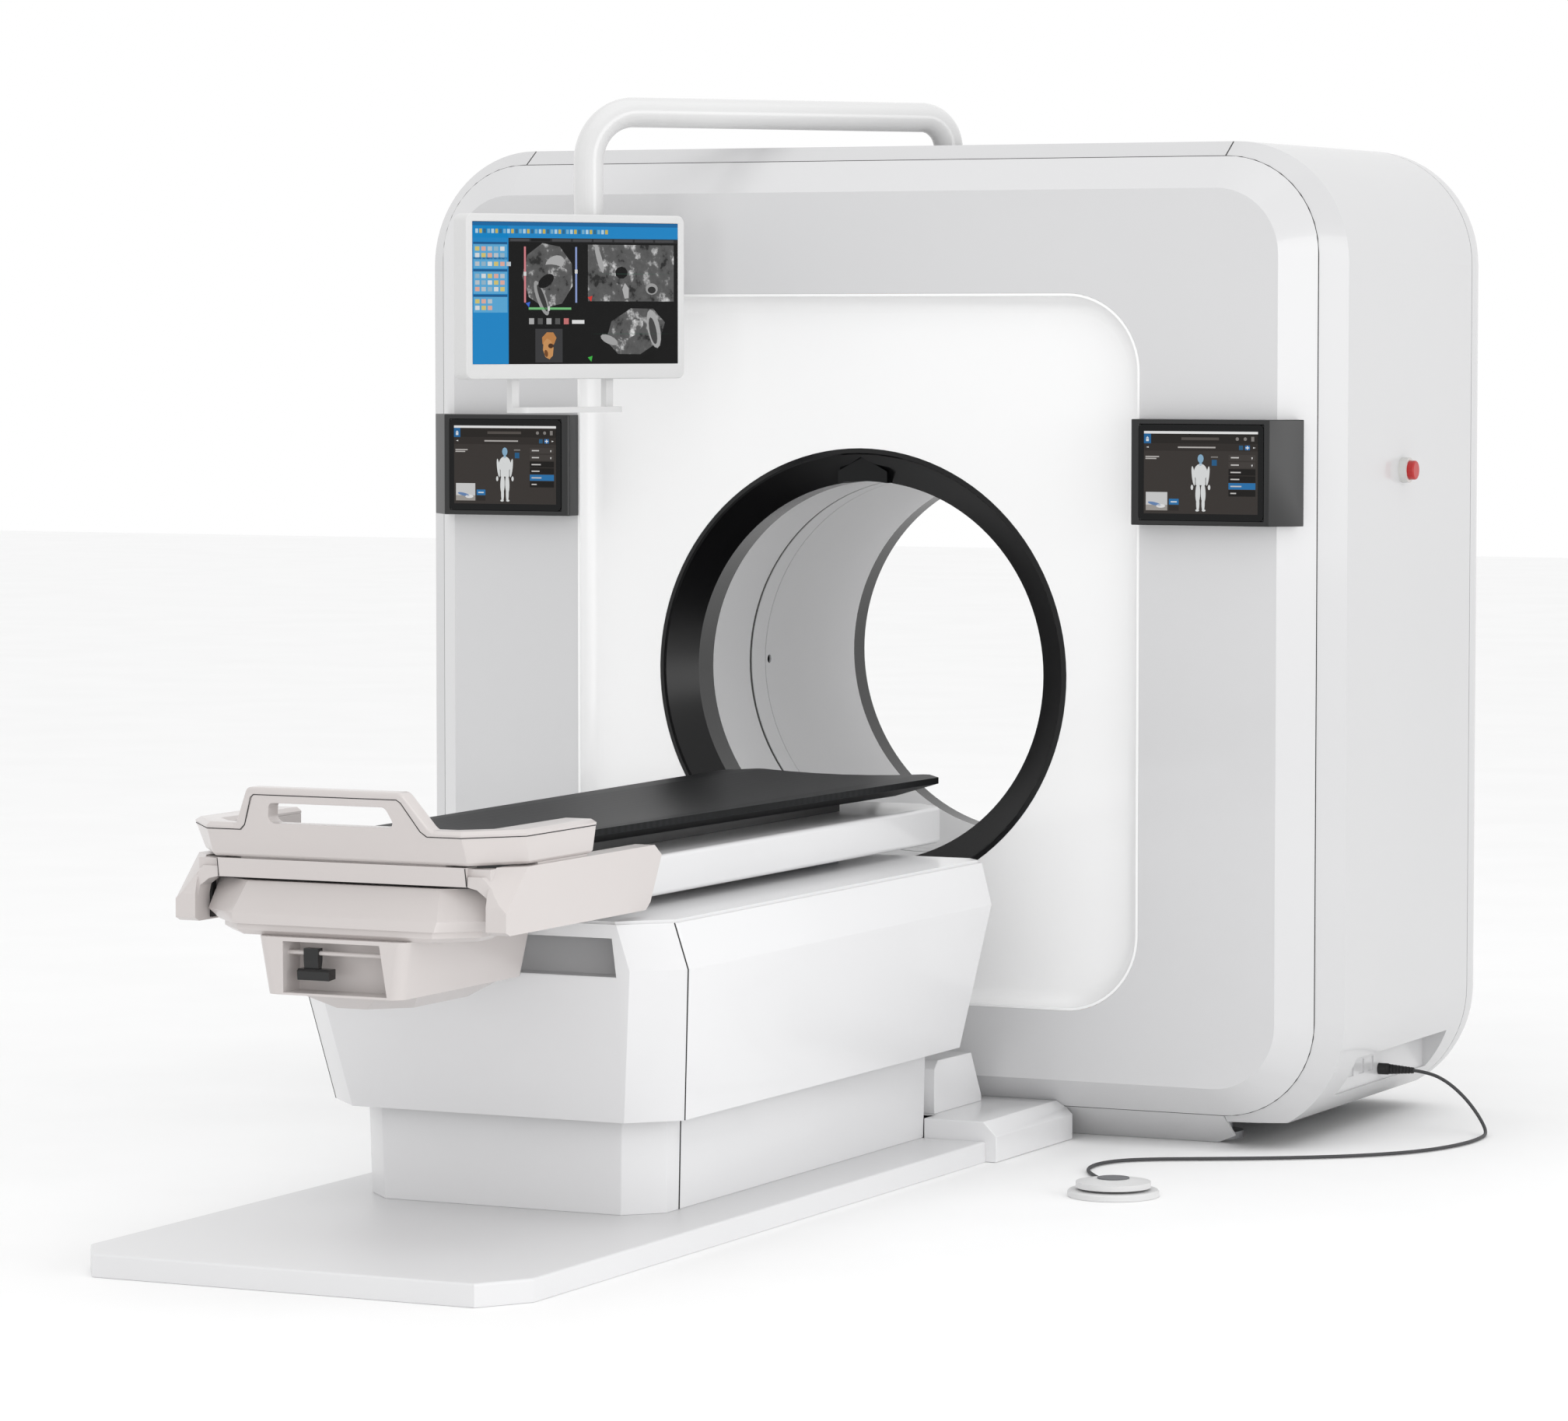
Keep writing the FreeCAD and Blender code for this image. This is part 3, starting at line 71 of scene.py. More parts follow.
class ScannerColours(bpy.types.PropertyGroup):
    front_cover: FloatVectorProperty(
        name="Front cover", description="Lacquer on the flat front of the gantry",
        subtype="COLOR", default=linear("#D0D0D1"))
    # Set whiter than the front cover's lacquer: painted light, standing in for the light that falls on the
    # concave dish.
    dish: FloatVectorProperty(
        name="Dish panel", description="Lacquer on the panel round the bore",
        subtype="COLOR", default=linear("#F7F7F7"))
    side_cover: FloatVectorProperty(
        name="Side covers", description="Lacquer on the sides, top and rear",
        subtype="COLOR", default=linear("#C9C9CA"))
    liner: FloatVectorProperty(
        name="Bore liner", description="Moulded tube inside the bore",
        subtype="COLOR", default=linear("#D0D0D1"))
    couch: FloatVectorProperty(
        name="Couch covers", description="Lacquer on the couch's housing and skirt",
        subtype="COLOR", default=linear("#E2E2E3"))
    # Set darker than the couch's white: painted shade, standing in for the shade on the foot end's front
    # faces.
    foot_end: FloatVectorProperty(
        name="Foot end", description="Moulded pieces at the couch's foot end",
        subtype="COLOR", default=linear("#CBC5C3"))
    stop_button: FloatVectorProperty(
        name="Stop button", description="Emergency stop buttons",
        subtype="COLOR", default=linear("#B3201F"))


class ScannerSizes(bpy.types.PropertyGroup):
    cord_diameter: FloatProperty(
        name="Cord diameter", description="Diameter of the foot switch's cord",
        unit="LENGTH", default=0.007)
    floor_size: FloatProperty(
        name="Floor size", description="Width of the studio floor",
        unit="LENGTH", default=60.0)
    field_height: FloatProperty(
        name="Display step", description="How far one layer of a display's picture lies before the next",
        unit="LENGTH", default=0.00012)


# ---------------------------------------------------------------------------
# Materials
# ---------------------------------------------------------------------------
def add_node(tree, kind, values=None, links=None, **settings):
    """Adds one node with its settings, its input values and the links into it."""
    node = tree.nodes.new(kind)
    for key, value in settings.items():
        setattr(node, key, value)
    for socket, value in (values or {}).items():
        node.inputs[socket].default_value = value
    for socket, source in (links or {}).items():
        tree.links.new(source, node.inputs[socket])
    return node


def surface(name, colour, roughness, metallic=0.0, ior=1.5, coat=0.0):
    """New material with its shader and object coordinates, for the finishes below."""
    material = bpy.data.materials.new(name)
    material.use_nodes = True
    tree = material.node_tree
    shader = tree.nodes["Principled BSDF"]
    shader.inputs["Base Color"].default_value = (*colour[:3], 1)
    shader.inputs["Roughness"].default_value = roughness
    shader.inputs["Metallic"].default_value = metallic
    shader.inputs["Coat Weight"].default_value = coat
    if metallic == 0:
        shader.inputs["IOR"].default_value = ior
    place = add_node(tree, "ShaderNodeTexCoord").outputs["Object"]
    return material, tree, shader, place


def grain(tree, shader, place, size_mm, height_mm, colour, spread, rough=None):
    """Fine relief of grains that wide and high, with a slight drift of colour and gloss."""
    noise = add_node(tree, "ShaderNodeTexNoise", {"Scale": 1000 / size_mm, "Detail": 2.0}, {"Vector": place})
    bump = add_node(tree, "ShaderNodeBump", {"Strength": 0.6, "Distance": height_mm * MM},
                    {"Height": noise.outputs["Fac"]})
    tree.links.new(bump.outputs["Normal"], shader.inputs["Normal"])
    drift = add_node(tree, "ShaderNodeTexNoise", {"Scale": 2.2, "Detail": 3.0}, {"Vector": place})
    ramp = add_node(tree, "ShaderNodeValToRGB", None, {"Fac": drift.outputs["Fac"]})
    ramp.color_ramp.elements[0].color = (*(c * (1 - spread) for c in colour[:3]), 1)
    ramp.color_ramp.elements[1].color = (*colour[:3], 1)
    tree.links.new(ramp.outputs["Color"], shader.inputs["Base Color"])
    if rough:
        spreader = add_node(tree, "ShaderNodeMapRange", {"To Min": rough[0], "To Max": rough[1]},
                            {"Value": drift.outputs["Fac"]})
        tree.links.new(spreader.outputs["Result"], shader.inputs["Roughness"])


def lacquer(name, colour, roughness=0.28):
    # Polyurethane moulding, filled and sprayed gloss: a deep even white with a very soft orange peel.
    material, tree, shader, place = surface(name, colour, roughness, ior=1.5, coat=0.35)
    shader.inputs["Coat Roughness"].default_value = 0.08
    grain(tree, shader, place, 9.0, 0.05, colour, 0.03)
    return material


def textured_plastic(name, colour, roughness, grain_mm=1.6):
    # ABS moulded in an eroded tool: a satin skin of small grains.
    material, tree, shader, place = surface(name, colour, roughness, ior=1.53)
    grain(tree, shader, place, grain_mm, 0.06, colour, 0.12, (roughness - 0.05, roughness + 0.07))
    return material


def black_gloss(name, colour):
    # ABS moulded in a polished tool: near black, mirror-like, faintly wavy.
    material, tree, shader, place = surface(name, colour, 0.2, ior=1.36)
    grain(tree, shader, place, 60.0, 0.12, colour, 0.2, (0.17, 0.24))
    return material


def rubber(name, colour):
    # Soft PVC or rubber: matt with a fine uneven skin.
    material, tree, shader, place = surface(name, colour, 0.6, ior=1.52)
    grain(tree, shader, place, 2.0, 0.15, colour, 0.2, (0.55, 0.72))
    return material


def carbon_top(name):
    # Carbon-fibre cloth under satin resin: a black twill, drawn with tows 12 mm wide so that it shows.
    tow_mm = 12
    dark, light = linear("#101112"), linear("#1D1E20")
    material, tree, shader, place = surface(name, light, 0.42, ior=1.16)
    waves = []
    for axis in ("X", "Y"):
        # a wave texture draws about 6.28 half waves a metre for each unit of its scale
        wave = add_node(tree, "ShaderNodeTexWave", {"Scale": 1000 / tow_mm / 6.28, "Distortion": 0.0},
                        {"Vector": place}, wave_type="BANDS", bands_direction=axis)
        waves.append(wave.outputs["Fac"])
    weave = add_node(tree, "ShaderNodeMath", None, {0: waves[0], 1: waves[1]}, operation="MULTIPLY")
    ramp = add_node(tree, "ShaderNodeValToRGB", None, {"Fac": weave.outputs["Value"]})
    ramp.color_ramp.elements[0].color = (*dark, 1)
    ramp.color_ramp.elements[1].color = (*light, 1)
    tree.links.new(ramp.outputs["Color"], shader.inputs["Base Color"])
    bump = add_node(tree, "ShaderNodeBump", {"Strength": 0.25, "Distance": 0.0002},
                    {"Height": weave.outputs["Value"]})
    tree.links.new(bump.outputs["Normal"], shader.inputs["Normal"])
    return material


def machined_metal(name, colour, roughness=0.35):
    # Turned or milled metal: fine lines left by the tool.
    material, tree, shader, place = surface(name, colour, roughness, metallic=1.0)
    stretch = add_node(tree, "ShaderNodeMapping", {"Scale": (1.0, 1.0, 40.0)}, {"Vector": place})
    noise = add_node(tree, "ShaderNodeTexNoise", {"Scale": 60.0, "Detail": 4.0},
                     {"Vector": stretch.outputs["Vector"]})
    spreader = add_node(tree, "ShaderNodeMapRange", {"To Min": roughness - 0.08, "To Max": roughness + 0.12},
                        {"Value": noise.outputs["Fac"]})
    tree.links.new(spreader.outputs["Result"], shader.inputs["Roughness"])
    bump = add_node(tree, "ShaderNodeBump", {"Strength": 0.2, "Distance": 0.0001},
                    {"Height": noise.outputs["Fac"]})
    tree.links.new(bump.outputs["Normal"], shader.inputs["Normal"])
    return material


def powder_coat(name, colour, roughness=0.5):
    # Steel with a baked powder coat: satin, with a pebbled skin about 2 mm across.
    material, tree, shader, place = surface(name, colour, roughness, ior=1.5)
    grain(tree, shader, place, 2.5, 0.08, colour, 0.05, (roughness - 0.08, roughness + 0.08))
    return material


def cover_glass(name):
    # Coated float glass over a dark display: black, sharp reflections, a trace of smears.
    material, tree, shader, place = surface(name, linear("#08090A"), 0.06, ior=1.3)
    smear = add_node(tree, "ShaderNodeTexNoise", {"Scale": 14.0, "Detail": 5.0}, {"Vector": place})
    spreader = add_node(tree, "ShaderNodeMapRange", {"To Min": 0.04, "To Max": 0.14},
                        {"Value": smear.outputs["Fac"]})
    tree.links.new(spreader.outputs["Result"], shader.inputs["Roughness"])
    return material


def lit_field(text):
    """Backlit liquid-crystal field of that colour, made once for each colour."""
    # Each picture element is a small lit square in a dark grid, drawn at 1.2 mm so that it shows close up,
    # under a film that takes away most reflections.
    name = "lit_field_" + text.strip("#").lower()
    if name in bpy.data.materials:
        return bpy.data.materials[name]
    colour = linear(text)
    dot_mm = 1.2
    material, tree, shader, place = surface(name, DISPLAY_FILM, 0.25, ior=1.12)
    dots = add_node(tree, "ShaderNodeTexVoronoi", {"Scale": 1000 / dot_mm, "Randomness": 0.0},
                    {"Vector": place}, distance="CHEBYCHEV")
    ramp = add_node(tree, "ShaderNodeValToRGB", None, {"Fac": dots.outputs["Distance"]})
    ramp.color_ramp.elements[0].color = (*colour, 1)
    ramp.color_ramp.elements[1].position = 0.8
    ramp.color_ramp.elements[1].color = (*(c * 0.8 for c in colour), 1)
    tree.links.new(ramp.outputs["Color"], shader.inputs["Emission Color"])
    shader.inputs["Emission Strength"].default_value = 0.85
    return material


def scan_field(name, seed):
    # Grey section picture on a display: cloudy tissue with paler and darker patches.
    material, tree, shader, place = surface(name, DISPLAY_FILM, 0.25, ior=1.12)
    shift = add_node(tree, "ShaderNodeMapping", {"Location": (seed, 2 * seed, -seed)}, {"Vector": place})
    cloud = add_node(tree, "ShaderNodeTexNoise", {"Scale": 34.0, "Detail": 6.0, "Roughness": 0.62},
                     {"Vector": shift.outputs["Vector"]})
    ramp = add_node(tree, "ShaderNodeValToRGB", None, {"Fac": cloud.outputs["Fac"]})
    ramp.color_ramp.elements[0].position = 0.36
    ramp.color_ramp.elements[0].color = (0.02, 0.02, 0.02, 1)
    ramp.color_ramp.elements[1].position = 0.7
    ramp.color_ramp.elements[1].color = (0.75, 0.75, 0.75, 1)
    for position, grey in ((0.42, 0.085), (0.56, 0.11)):
        ramp.color_ramp.elements.new(position).color = (grey, grey, grey, 1)
    tree.links.new(ramp.outputs["Color"], shader.inputs["Emission Color"])
    shader.inputs["Emission Strength"].default_value = 0.9
    return material


# ---------------------------------------------------------------------------
# Mesh helpers
# ---------------------------------------------------------------------------
def deselect():
    bpy.ops.object.select_all(action="DESELECT")


def pick(obj):
    """Makes that object active, and the only one selected."""
    deselect()
    obj.select_set(True)
    bpy.context.view_layer.objects.active = obj


def settle(obj, name, material=None):
    """Applies the object's place to its mesh and names it."""
    pick(obj)
    bpy.ops.object.transform_apply(location=True, rotation=True, scale=True)
    obj.name = name
    if material:
        obj.data.materials.clear()
        obj.data.materials.append(material)
    return obj


def join(objects, name):
    """Joins the objects into the first of them."""
    deselect()
    for obj in objects:
        obj.select_set(True)
    bpy.context.view_layer.objects.active = objects[0]
    bpy.ops.object.join()
    objects[0].name = name
    return objects[0]


def paint(nodes, material):
    """Gives CAD nodes their finish."""
    for node in nodes:
        mesh = NODES[node].data
        mesh.materials.clear()
        mesh.materials.append(material)


# ---------------------------------------------------------------------------
# Displays: pictures of plain fields, laid in layers on a screen
# ---------------------------------------------------------------------------
class Picture:
    """Fields of colour on a screen of given width and height, with its corner at the lower left."""

    def __init__(self, width, height):
        self.width = width
        self.height = height
        self.unit = width / 1000
        self.pieces = []
        self.step = bpy.context.scene.scanner_sizes.field_height

    def add(self, colour, layer):
        """Paints the field that was just made, and lifts it to its layer."""
        obj = bpy.context.object
        obj.data.materials.append(colour if isinstance(colour, bpy.types.Material) else lit_field(colour))
        obj.location.z = layer * self.step
        self.pieces.append(obj)

    def field(self, x, y, wide, high, colour, layer):
        """Rectangle with its lower left corner at x, y, in thousandths of the screen's width."""
        deselect()
        place = ((x + wide / 2) * self.unit, (y + high / 2) * self.unit, 0)
        bpy.ops.mesh.primitive_plane_add(size=1, location=place)
        bpy.context.object.scale = (wide * self.unit, high * self.unit, 1)
        self.add(colour, layer)

    def shape(self, x, y, wide, high, sides, colour, layer, turn=0.0):
        """Regular shape or ellipse about x, y, turned by degrees."""
        deselect()
        place = (x * self.unit, y * self.unit, 0)
        bpy.ops.mesh.primitive_circle_add(vertices=sides, radius=0.5, fill_type="NGON", location=place)
        bpy.context.object.scale = (wide * self.unit, high * self.unit, 1)
        bpy.context.object.rotation_euler.z = math.radians(turn)
        self.add(colour, layer)

    def finish(self, name, corner, turn_z, body, slot_name):
        """Joins the fields and stands them up, lower left corner there, facing -y before the turn."""
        for obj in self.pieces:
            settle(obj, obj.name)
        whole = join(self.pieces, name)
        upright = Matrix.Rotation(math.pi / 2, 4, "X")
        whole.data.transform(Matrix.Translation(corner) @ Matrix.Rotation(turn_z, 4, "Z") @ upright)
        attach(whole, body)


def draw_person(picture, x, y, tall, layer):
    """Plain upright figure for choosing what to scan: round head, straight limbs."""
    u = tall / 100
    white, blue = "#E8EAEA", "#8FB7D3"
    picture.shape(x, y + 92 * u, 11 * u, 15 * u, 24, blue, layer)
    picture.field(x - 2.4 * u, y + 80 * u, 4.8 * u, 6 * u, blue, layer)
    picture.shape(x, y + 68 * u, 25 * u, 30 * u, 24, white, layer)
    picture.field(x - 9 * u, y + 46 * u, 18 * u, 26 * u, white, layer)
    for side in (-1, 1):
        picture.shape(x + side * 13.5 * u, y + 62 * u, 5.5 * u, 34 * u, 20, white, layer, -side * 7)
        picture.shape(x + side * 16 * u, y + 42 * u, 4.6 * u, 9 * u, 16, white, layer)
        picture.shape(x + side * 5 * u, y + 32 * u, 9 * u, 36 * u, 20, white, layer, side * 1.5)
        picture.shape(x + side * 5 * u, y + 14 * u, 6 * u, 28 * u, 20, white, layer)
        picture.shape(x + side * 6 * u, y + 2 * u, 7 * u, 4 * u, 16, white, layer)


def draw_control_page():
    """Touchscreen page: title bar, figure, list of settings and a small picture."""
    page = Picture(0.237, 0.160)
    pale, grey, dim, lamp_blue = "#E8EEF2", "#8B8784", "#D9D6D4", "#2878B5"
    page.field(0, 0, 1000, 675, "#3B3633", 1)
    page.field(0, 655, 1000, 20, "#F2F2F2", 2)
    page.field(0, 575, 1000, 80, "#26221F", 2)
    page.field(0, 515, 1000, 58, "#312C29", 2)
    page.field(0, 575, 62, 80, "#1F6BA5", 3)
    page.shape(31, 622, 34, 20, 3, pale, 4)
    page.field(19, 592, 24, 22, pale, 4)
    for x in (820, 890):
        page.shape(x, 615, 30, 30, 8, grey, 3)
    page.field(942, 596, 26, 38, grey, 3)
    page.field(330, 604, 330, 22, "#57514D", 3)
    page.field(300, 538, 330, 12, "#BDB9B6", 3)
    page.shape(34, 544, 14, 30, 3, "#EDEDED", 3, 90)
    page.shape(966, 544, 14, 30, 3, "#EDEDED", 3, -90)
    page.field(835, 526, 36, 36, "#2A5E84", 3)
    page.field(888, 526, 42, 36, "#1F78BE", 3)
    page.field(905, 529, 8, 30, "#F4F4F4", 4)
    page.field(893, 540, 32, 8, "#F4F4F4", 4)
    for y, wide in ((462, 120), (446, 96)):
        page.field(14, y, wide, 9, "#C9C5C2", 3)
    draw_person(page, 500, 20, 470, 3)
    page.field(590, 462, 62, 9, "#8E8A87", 3)
    page.field(598, 396, 44, 48, "#24618F", 3)
    for y in (440, 380):
        page.field(745, y, 235, 46, "#45403D", 3)
        page.field(765, y + 18, 70, 10, dim, 4)
        page.shape(950, y + 20, 16, 26, 3, "#F0F0F0", 4, 180)
    dark = "#171412"
    for row, (shade, wide) in enumerate(((dark, 90), (dark, 78), (lamp_blue, 96), (dark, 50))):
        y = 318 - 57 * row
        page.field(745, y, 235, 52, shade, 3)
        page.field(762, y + 20, wide, 10, dim, 4)
    page.field(18, 26, 190, 150, "#D8D8D8", 3)
    page.field(18, 26, 190, 45, "#A8A39E", 4)
    page.shape(95, 80, 120, 26, 20, "#6E8FC0", 5, -12)
    page.shape(150, 62, 80, 30, 20, "#F4F4F4", 5)
    page.field(222, 74, 86, 48, lamp_blue, 3)
    page.field(238, 92, 54, 10, pale, 4)
    page.field(222, 26, 86, 40, "#2E2926", 3)
    return page


def draw_scan_page():
    """Monitor page: tool columns and three plain section pictures with their sliders."""
    page = Picture(0.495, 0.279)
    blue, pale = "#1590D6", "#5FB4E6"
    page.field(0, 0, 1000, 563, "#060606", 1)
    page.field(0, 0, 172, 563, blue, 2)
    page.field(0, 500, 1000, 63, blue, 2)
    page.field(0, 548, 1000, 15, "#0F6FAE", 3)
    icons = ("#BFE2F5", "#7DBBDD", "#2B6F9A", "#D8C25A")
    for i in range(34):
        page.field(14 + 19 * i, 518, 13, 17, icons[i * 7 % 4], 3)
    page.field(172, 484, 828, 16, "#2A2A2C", 3)
    for i in range(8):
        page.field(180 + 101 * i, 487, 92, 10, "#4A4A4D" if i != 1 else "#101012", 4)
    tools = ("#E9EEF0", "#C9D3DA", "#E3D27C", "#9FC3D8", "#F0B8A8")
    for top, rows, columns in ((470, 2, 5), (410, 1, 6), (362, 3, 5), (262, 2, 3)):
        page.field(4, top - 6 - 26 * rows, 162, 10 + 26 * rows, pale, 3)
        page.field(4, top + 4, 162, 9, "#0D5F98", 3)
        for r in range(rows):
            for c in range(columns):
                page.field(12 + 30 * c, top - 22 - 26 * r, 21, 17, tools[(3 * r + 2 * c + rows) % 5], 4)
    tissue = scan_field("section_picture_tissue", 0.7)
    bone = scan_field("section_picture_bone", 3.1)
    # first section: a bent pale canal in a dark round
    page.shape(362, 352, 250, 262, 9, tissue, 3, 12)
    page.shape(395, 400, 96, 60, 14, "#B9B9B9", 4, 20)
    page.shape(398, 372, 130, 44, 16, bone, 5, -10)
    page.shape(352, 330, 84, 46, 16, "#050505", 6, 30)
    page.shape(330, 262, 46, 150, 18, "#A6A6A6", 4, 24)
    page.shape(334, 262, 24, 118, 18, "#3A3A3A", 5, 24)
    page.field(246, 244, 9, 222, "#E58A92", 5)
    page.field(494, 244, 9, 222, "#93A6DB", 5)
    page.field(268, 216, 206, 9, "#7CCB84", 5)
    for x, y in ((244, 350), (492, 360)):
        page.field(x, y, 13, 16, "#E8E8E8", 6)
    page.field(360, 212, 10, 17, "#E8E8E8", 6)
    page.shape(266, 238, 26, 26, 3, "#3D6FE0", 6, -45)
    # second section, upper right
    page.field(556, 250, 424, 226, tissue, 3)
    page.shape(730, 380, 150, 132, 7, bone, 4, 10)
    page.shape(720, 365, 62, 50, 9, "#050505", 5)
    page.shape(612, 420, 26, 120, 12, "#B4B4B4", 4, 18)
    page.shape(742, 290, 34, 70, 5, "#BDBDBD", 4, 8)
    page.shape(870, 300, 60, 46, 14, "#A8A8A8", 4)
    page.shape(870, 296, 40, 28, 14, "#2F2F2F", 5)
    page.shape(568, 262, 28, 28, 3, "#E33A33", 5, -45)
    # third section, lower right
    page.shape(790, 130, 300, 190, 8, tissue, 3, 14)
    page.shape(880, 140, 62, 160, 14, "#B6B6B6", 4, 14)
    page.shape(876, 132, 34, 112, 14, "#474747", 5, 14)
    page.shape(770, 140, 130, 60, 12, bone, 5, 28)
    page.shape(660, 96, 90, 34, 12, "#B0B0B0", 4, -20)
    page.shape(568, 22, 28, 28, 3, "#43C04B", 5, -45)
    for y in (120, 360):
        page.shape(770, y, 420, 1.2, 4, "#3A6A58", 6)
    # controls and the small turned model
    for i, shade in enumerate(("#B9B9B9", "#5A5A5A", "#B9B9B9", "#5A5A5A", "#D47A7A")):
        page.field(270 + 42 * i, 158, 24, 24, shade, 4)
    page.field(478, 160, 60, 15, "#F2F2F2", 4)
    page.field(300, 6, 132, 134, "#3C3C3E", 3)
    page.shape(366, 98, 74, 60, 7, "#C98A4E", 4, 20)
    page.shape(362, 60, 52, 84, 8, "#D79C61", 5, 8)
    page.shape(374, 72, 26, 20, 9, "#4A2D16", 6)
    page.shape(352, 42, 18, 30, 8, "#7A4C26", 6, 14)
    return page


# ---------------------------------------------------------------------------
# Operators
# ---------------------------------------------------------------------------
class SCANNER_OT_foot_cord(bpy.types.Operator):
    """Lays the foot switch's cord from its strain relief, over the floor, to the switch"""
    bl_idname = "scanner.foot_cord"
    bl_label = "Foot Cord"

    ROUTE = [(1.019, 1.158, 0.120), (1.054, 1.159, 0.117), (1.092, 1.162, 0.099), (1.126, 1.165, 0.070),
             (1.152, 1.165, 0.039), (1.171, 1.156, 0.014), (1.183, 1.128, 0.004), (1.190, 1.082, 0.004),
             (1.192, 1.012, 0.004), (1.180, 0.932, 0.004), (1.152, 0.850, 0.004), (1.104, 0.774, 0.004),
             (1.036, 0.704, 0.004), (0.957, 0.644, 0.004), (0.872, 0.592, 0.004), (0.792, 0.549, 0.004),
             (0.722, 0.511, 0.004), (0.672, 0.468, 0.004), (0.650, 0.416, 0.004), (0.650, 0.361, 0.004),
             (0.666, 0.308, 0.004), (0.697, 0.260, 0.004), (0.731, 0.216, 0.004), (0.758, 0.172, 0.004),
             (0.7813, 0.1275, 0.004)]
    LENGTH = 1.50

    def execute(self, context):
        curve = bpy.data.curves.new("foot_cord_line", "CURVE")
        curve.dimensions = "3D"
        curve.bevel_depth = context.scene.scanner_sizes.cord_diameter / 2
        curve.bevel_resolution = 6
        curve.resolution_u = 10
        curve.use_fill_caps = True
        line = curve.splines.new("NURBS")
        line.points.add(len(self.ROUTE) - 1)
        for point, place in zip(line.points, self.ROUTE):
            point.co = (*place, 1)
        line.order_u = 3
        line.use_endpoint_u = True
        cord = bpy.data.objects.new("foot_cord_line", curve)
        context.scene.collection.objects.link(cord)
        curve.materials.append(rubber("pvc_cord_dark_grey", linear("#3F3F41")))
        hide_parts("foot_cord")
        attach(cord, "base")
        return {"FINISHED"}


class SCANNER_OT_finishes(bpy.types.Operator):
    """Gives every piece of the frame its finish"""
    bl_idname = "scanner.finishes"
    bl_label = "Finishes"

    def execute(self, context):
        colours = context.scene.scanner_colours
        paint(["front_cover"], lacquer("lacquered_front_cover", colours.front_cover))
        # The dish panel's whiter lacquer carries painted light from its concave face.
        paint(["dish_panel"], lacquer("lacquered_dish_panel_painted_light", colours.dish, 0.3))
        paint(["top_cover", "left_side_cover", "right_side_cover", "rear_cover", "connector_panel"],
              lacquer("lacquered_side_cover", colours.side_cover))
        paint(["monitor_housing", "monitor_handle", "foot_switch_base", "foot_switch_tread"],
              textured_plastic("abs_warm_white", linear("#D9D9D9"), 0.35))
        paint(["arm_tube"], lacquer("lacquered_steel_tube", linear("#D8D8D8"), 0.22))
        paint(["bore_front_ring", "bore_rear_ring"], black_gloss("polished_black_abs", linear("#0B0B0C")))
        paint(["bore_liners"], textured_plastic("moulded_liner_grey", colours.liner, 0.4, 2.5))
        paint(["scan_window_ring", "bore_sensor_window"], cover_glass("dark_polycarbonate_window"))
        paint(["touchscreen_glasses", "monitor_screen"], cover_glass("black_display_glass"))
        paint(["touchscreen_housings", "release_lever", "arm_bush", "monitor_yoke", "table_carrier"],
              textured_plastic("moulded_black_abs", linear("#0E0F10"), 0.3))
        paint(["left_stop_button", "right_stop_button"],
              textured_plastic("moulded_red_nylon", colours.stop_button, 0.32))
        paint(["emergency_stop_collars"], textured_plastic("frosted_collar_plastic", linear("#CFCFCC"), 0.25))
        paint(["link_cover", "link_tower", "skirt_panels", "housing_front", "housing_left", "housing_right",
               "housing_top", "beam"], lacquer("lacquered_couch_cover", colours.couch, 0.3))
        # The foot end's white is painted darker: painted shade for its shaded front faces.
        paint(["guard", "guard_cap", "end_frame", "hood", "lower_box"],
              lacquer("moulded_foot_end_white_painted_shade", colours.foot_end, 0.34))
        paint(["floor_plate"], powder_coat("powder_coated_floor_plate", linear("#DFDFE0"), 0.4))
        paint(["table_top"], carbon_top("carbon_twill_table_top"))
        paint(["strain_relief"], rubber("moulded_rubber_relief", linear("#1E1E1F")))
        paint(["foot_switch_pad"], rubber("grey_rubber_pad", linear("#6C6D70")))
        paint(["foot_switch_spring", "levelling_feet", "bearing_outer_ring", "bearing_inner_ring"],
              machined_metal("ground_bearing_steel", linear("#A9AAAD")))
        paint(["rotor_drum", "xray_tube_unit", "detector"],
              machined_metal("milled_cast_aluminium", linear("#B8BABD"), 0.4))
        paint(["slip_ring", "coil_ring"], machined_metal("turned_copper_alloy", linear("#B77E4F"), 0.3))
        paint(["base_frame", "stator_frame", "rotor_side_units", "column_outer", "column_inner",
               "couch_chassis"], powder_coat("powder_coated_frame_steel", linear("#5A5F66")))
        return {"FINISHED"}


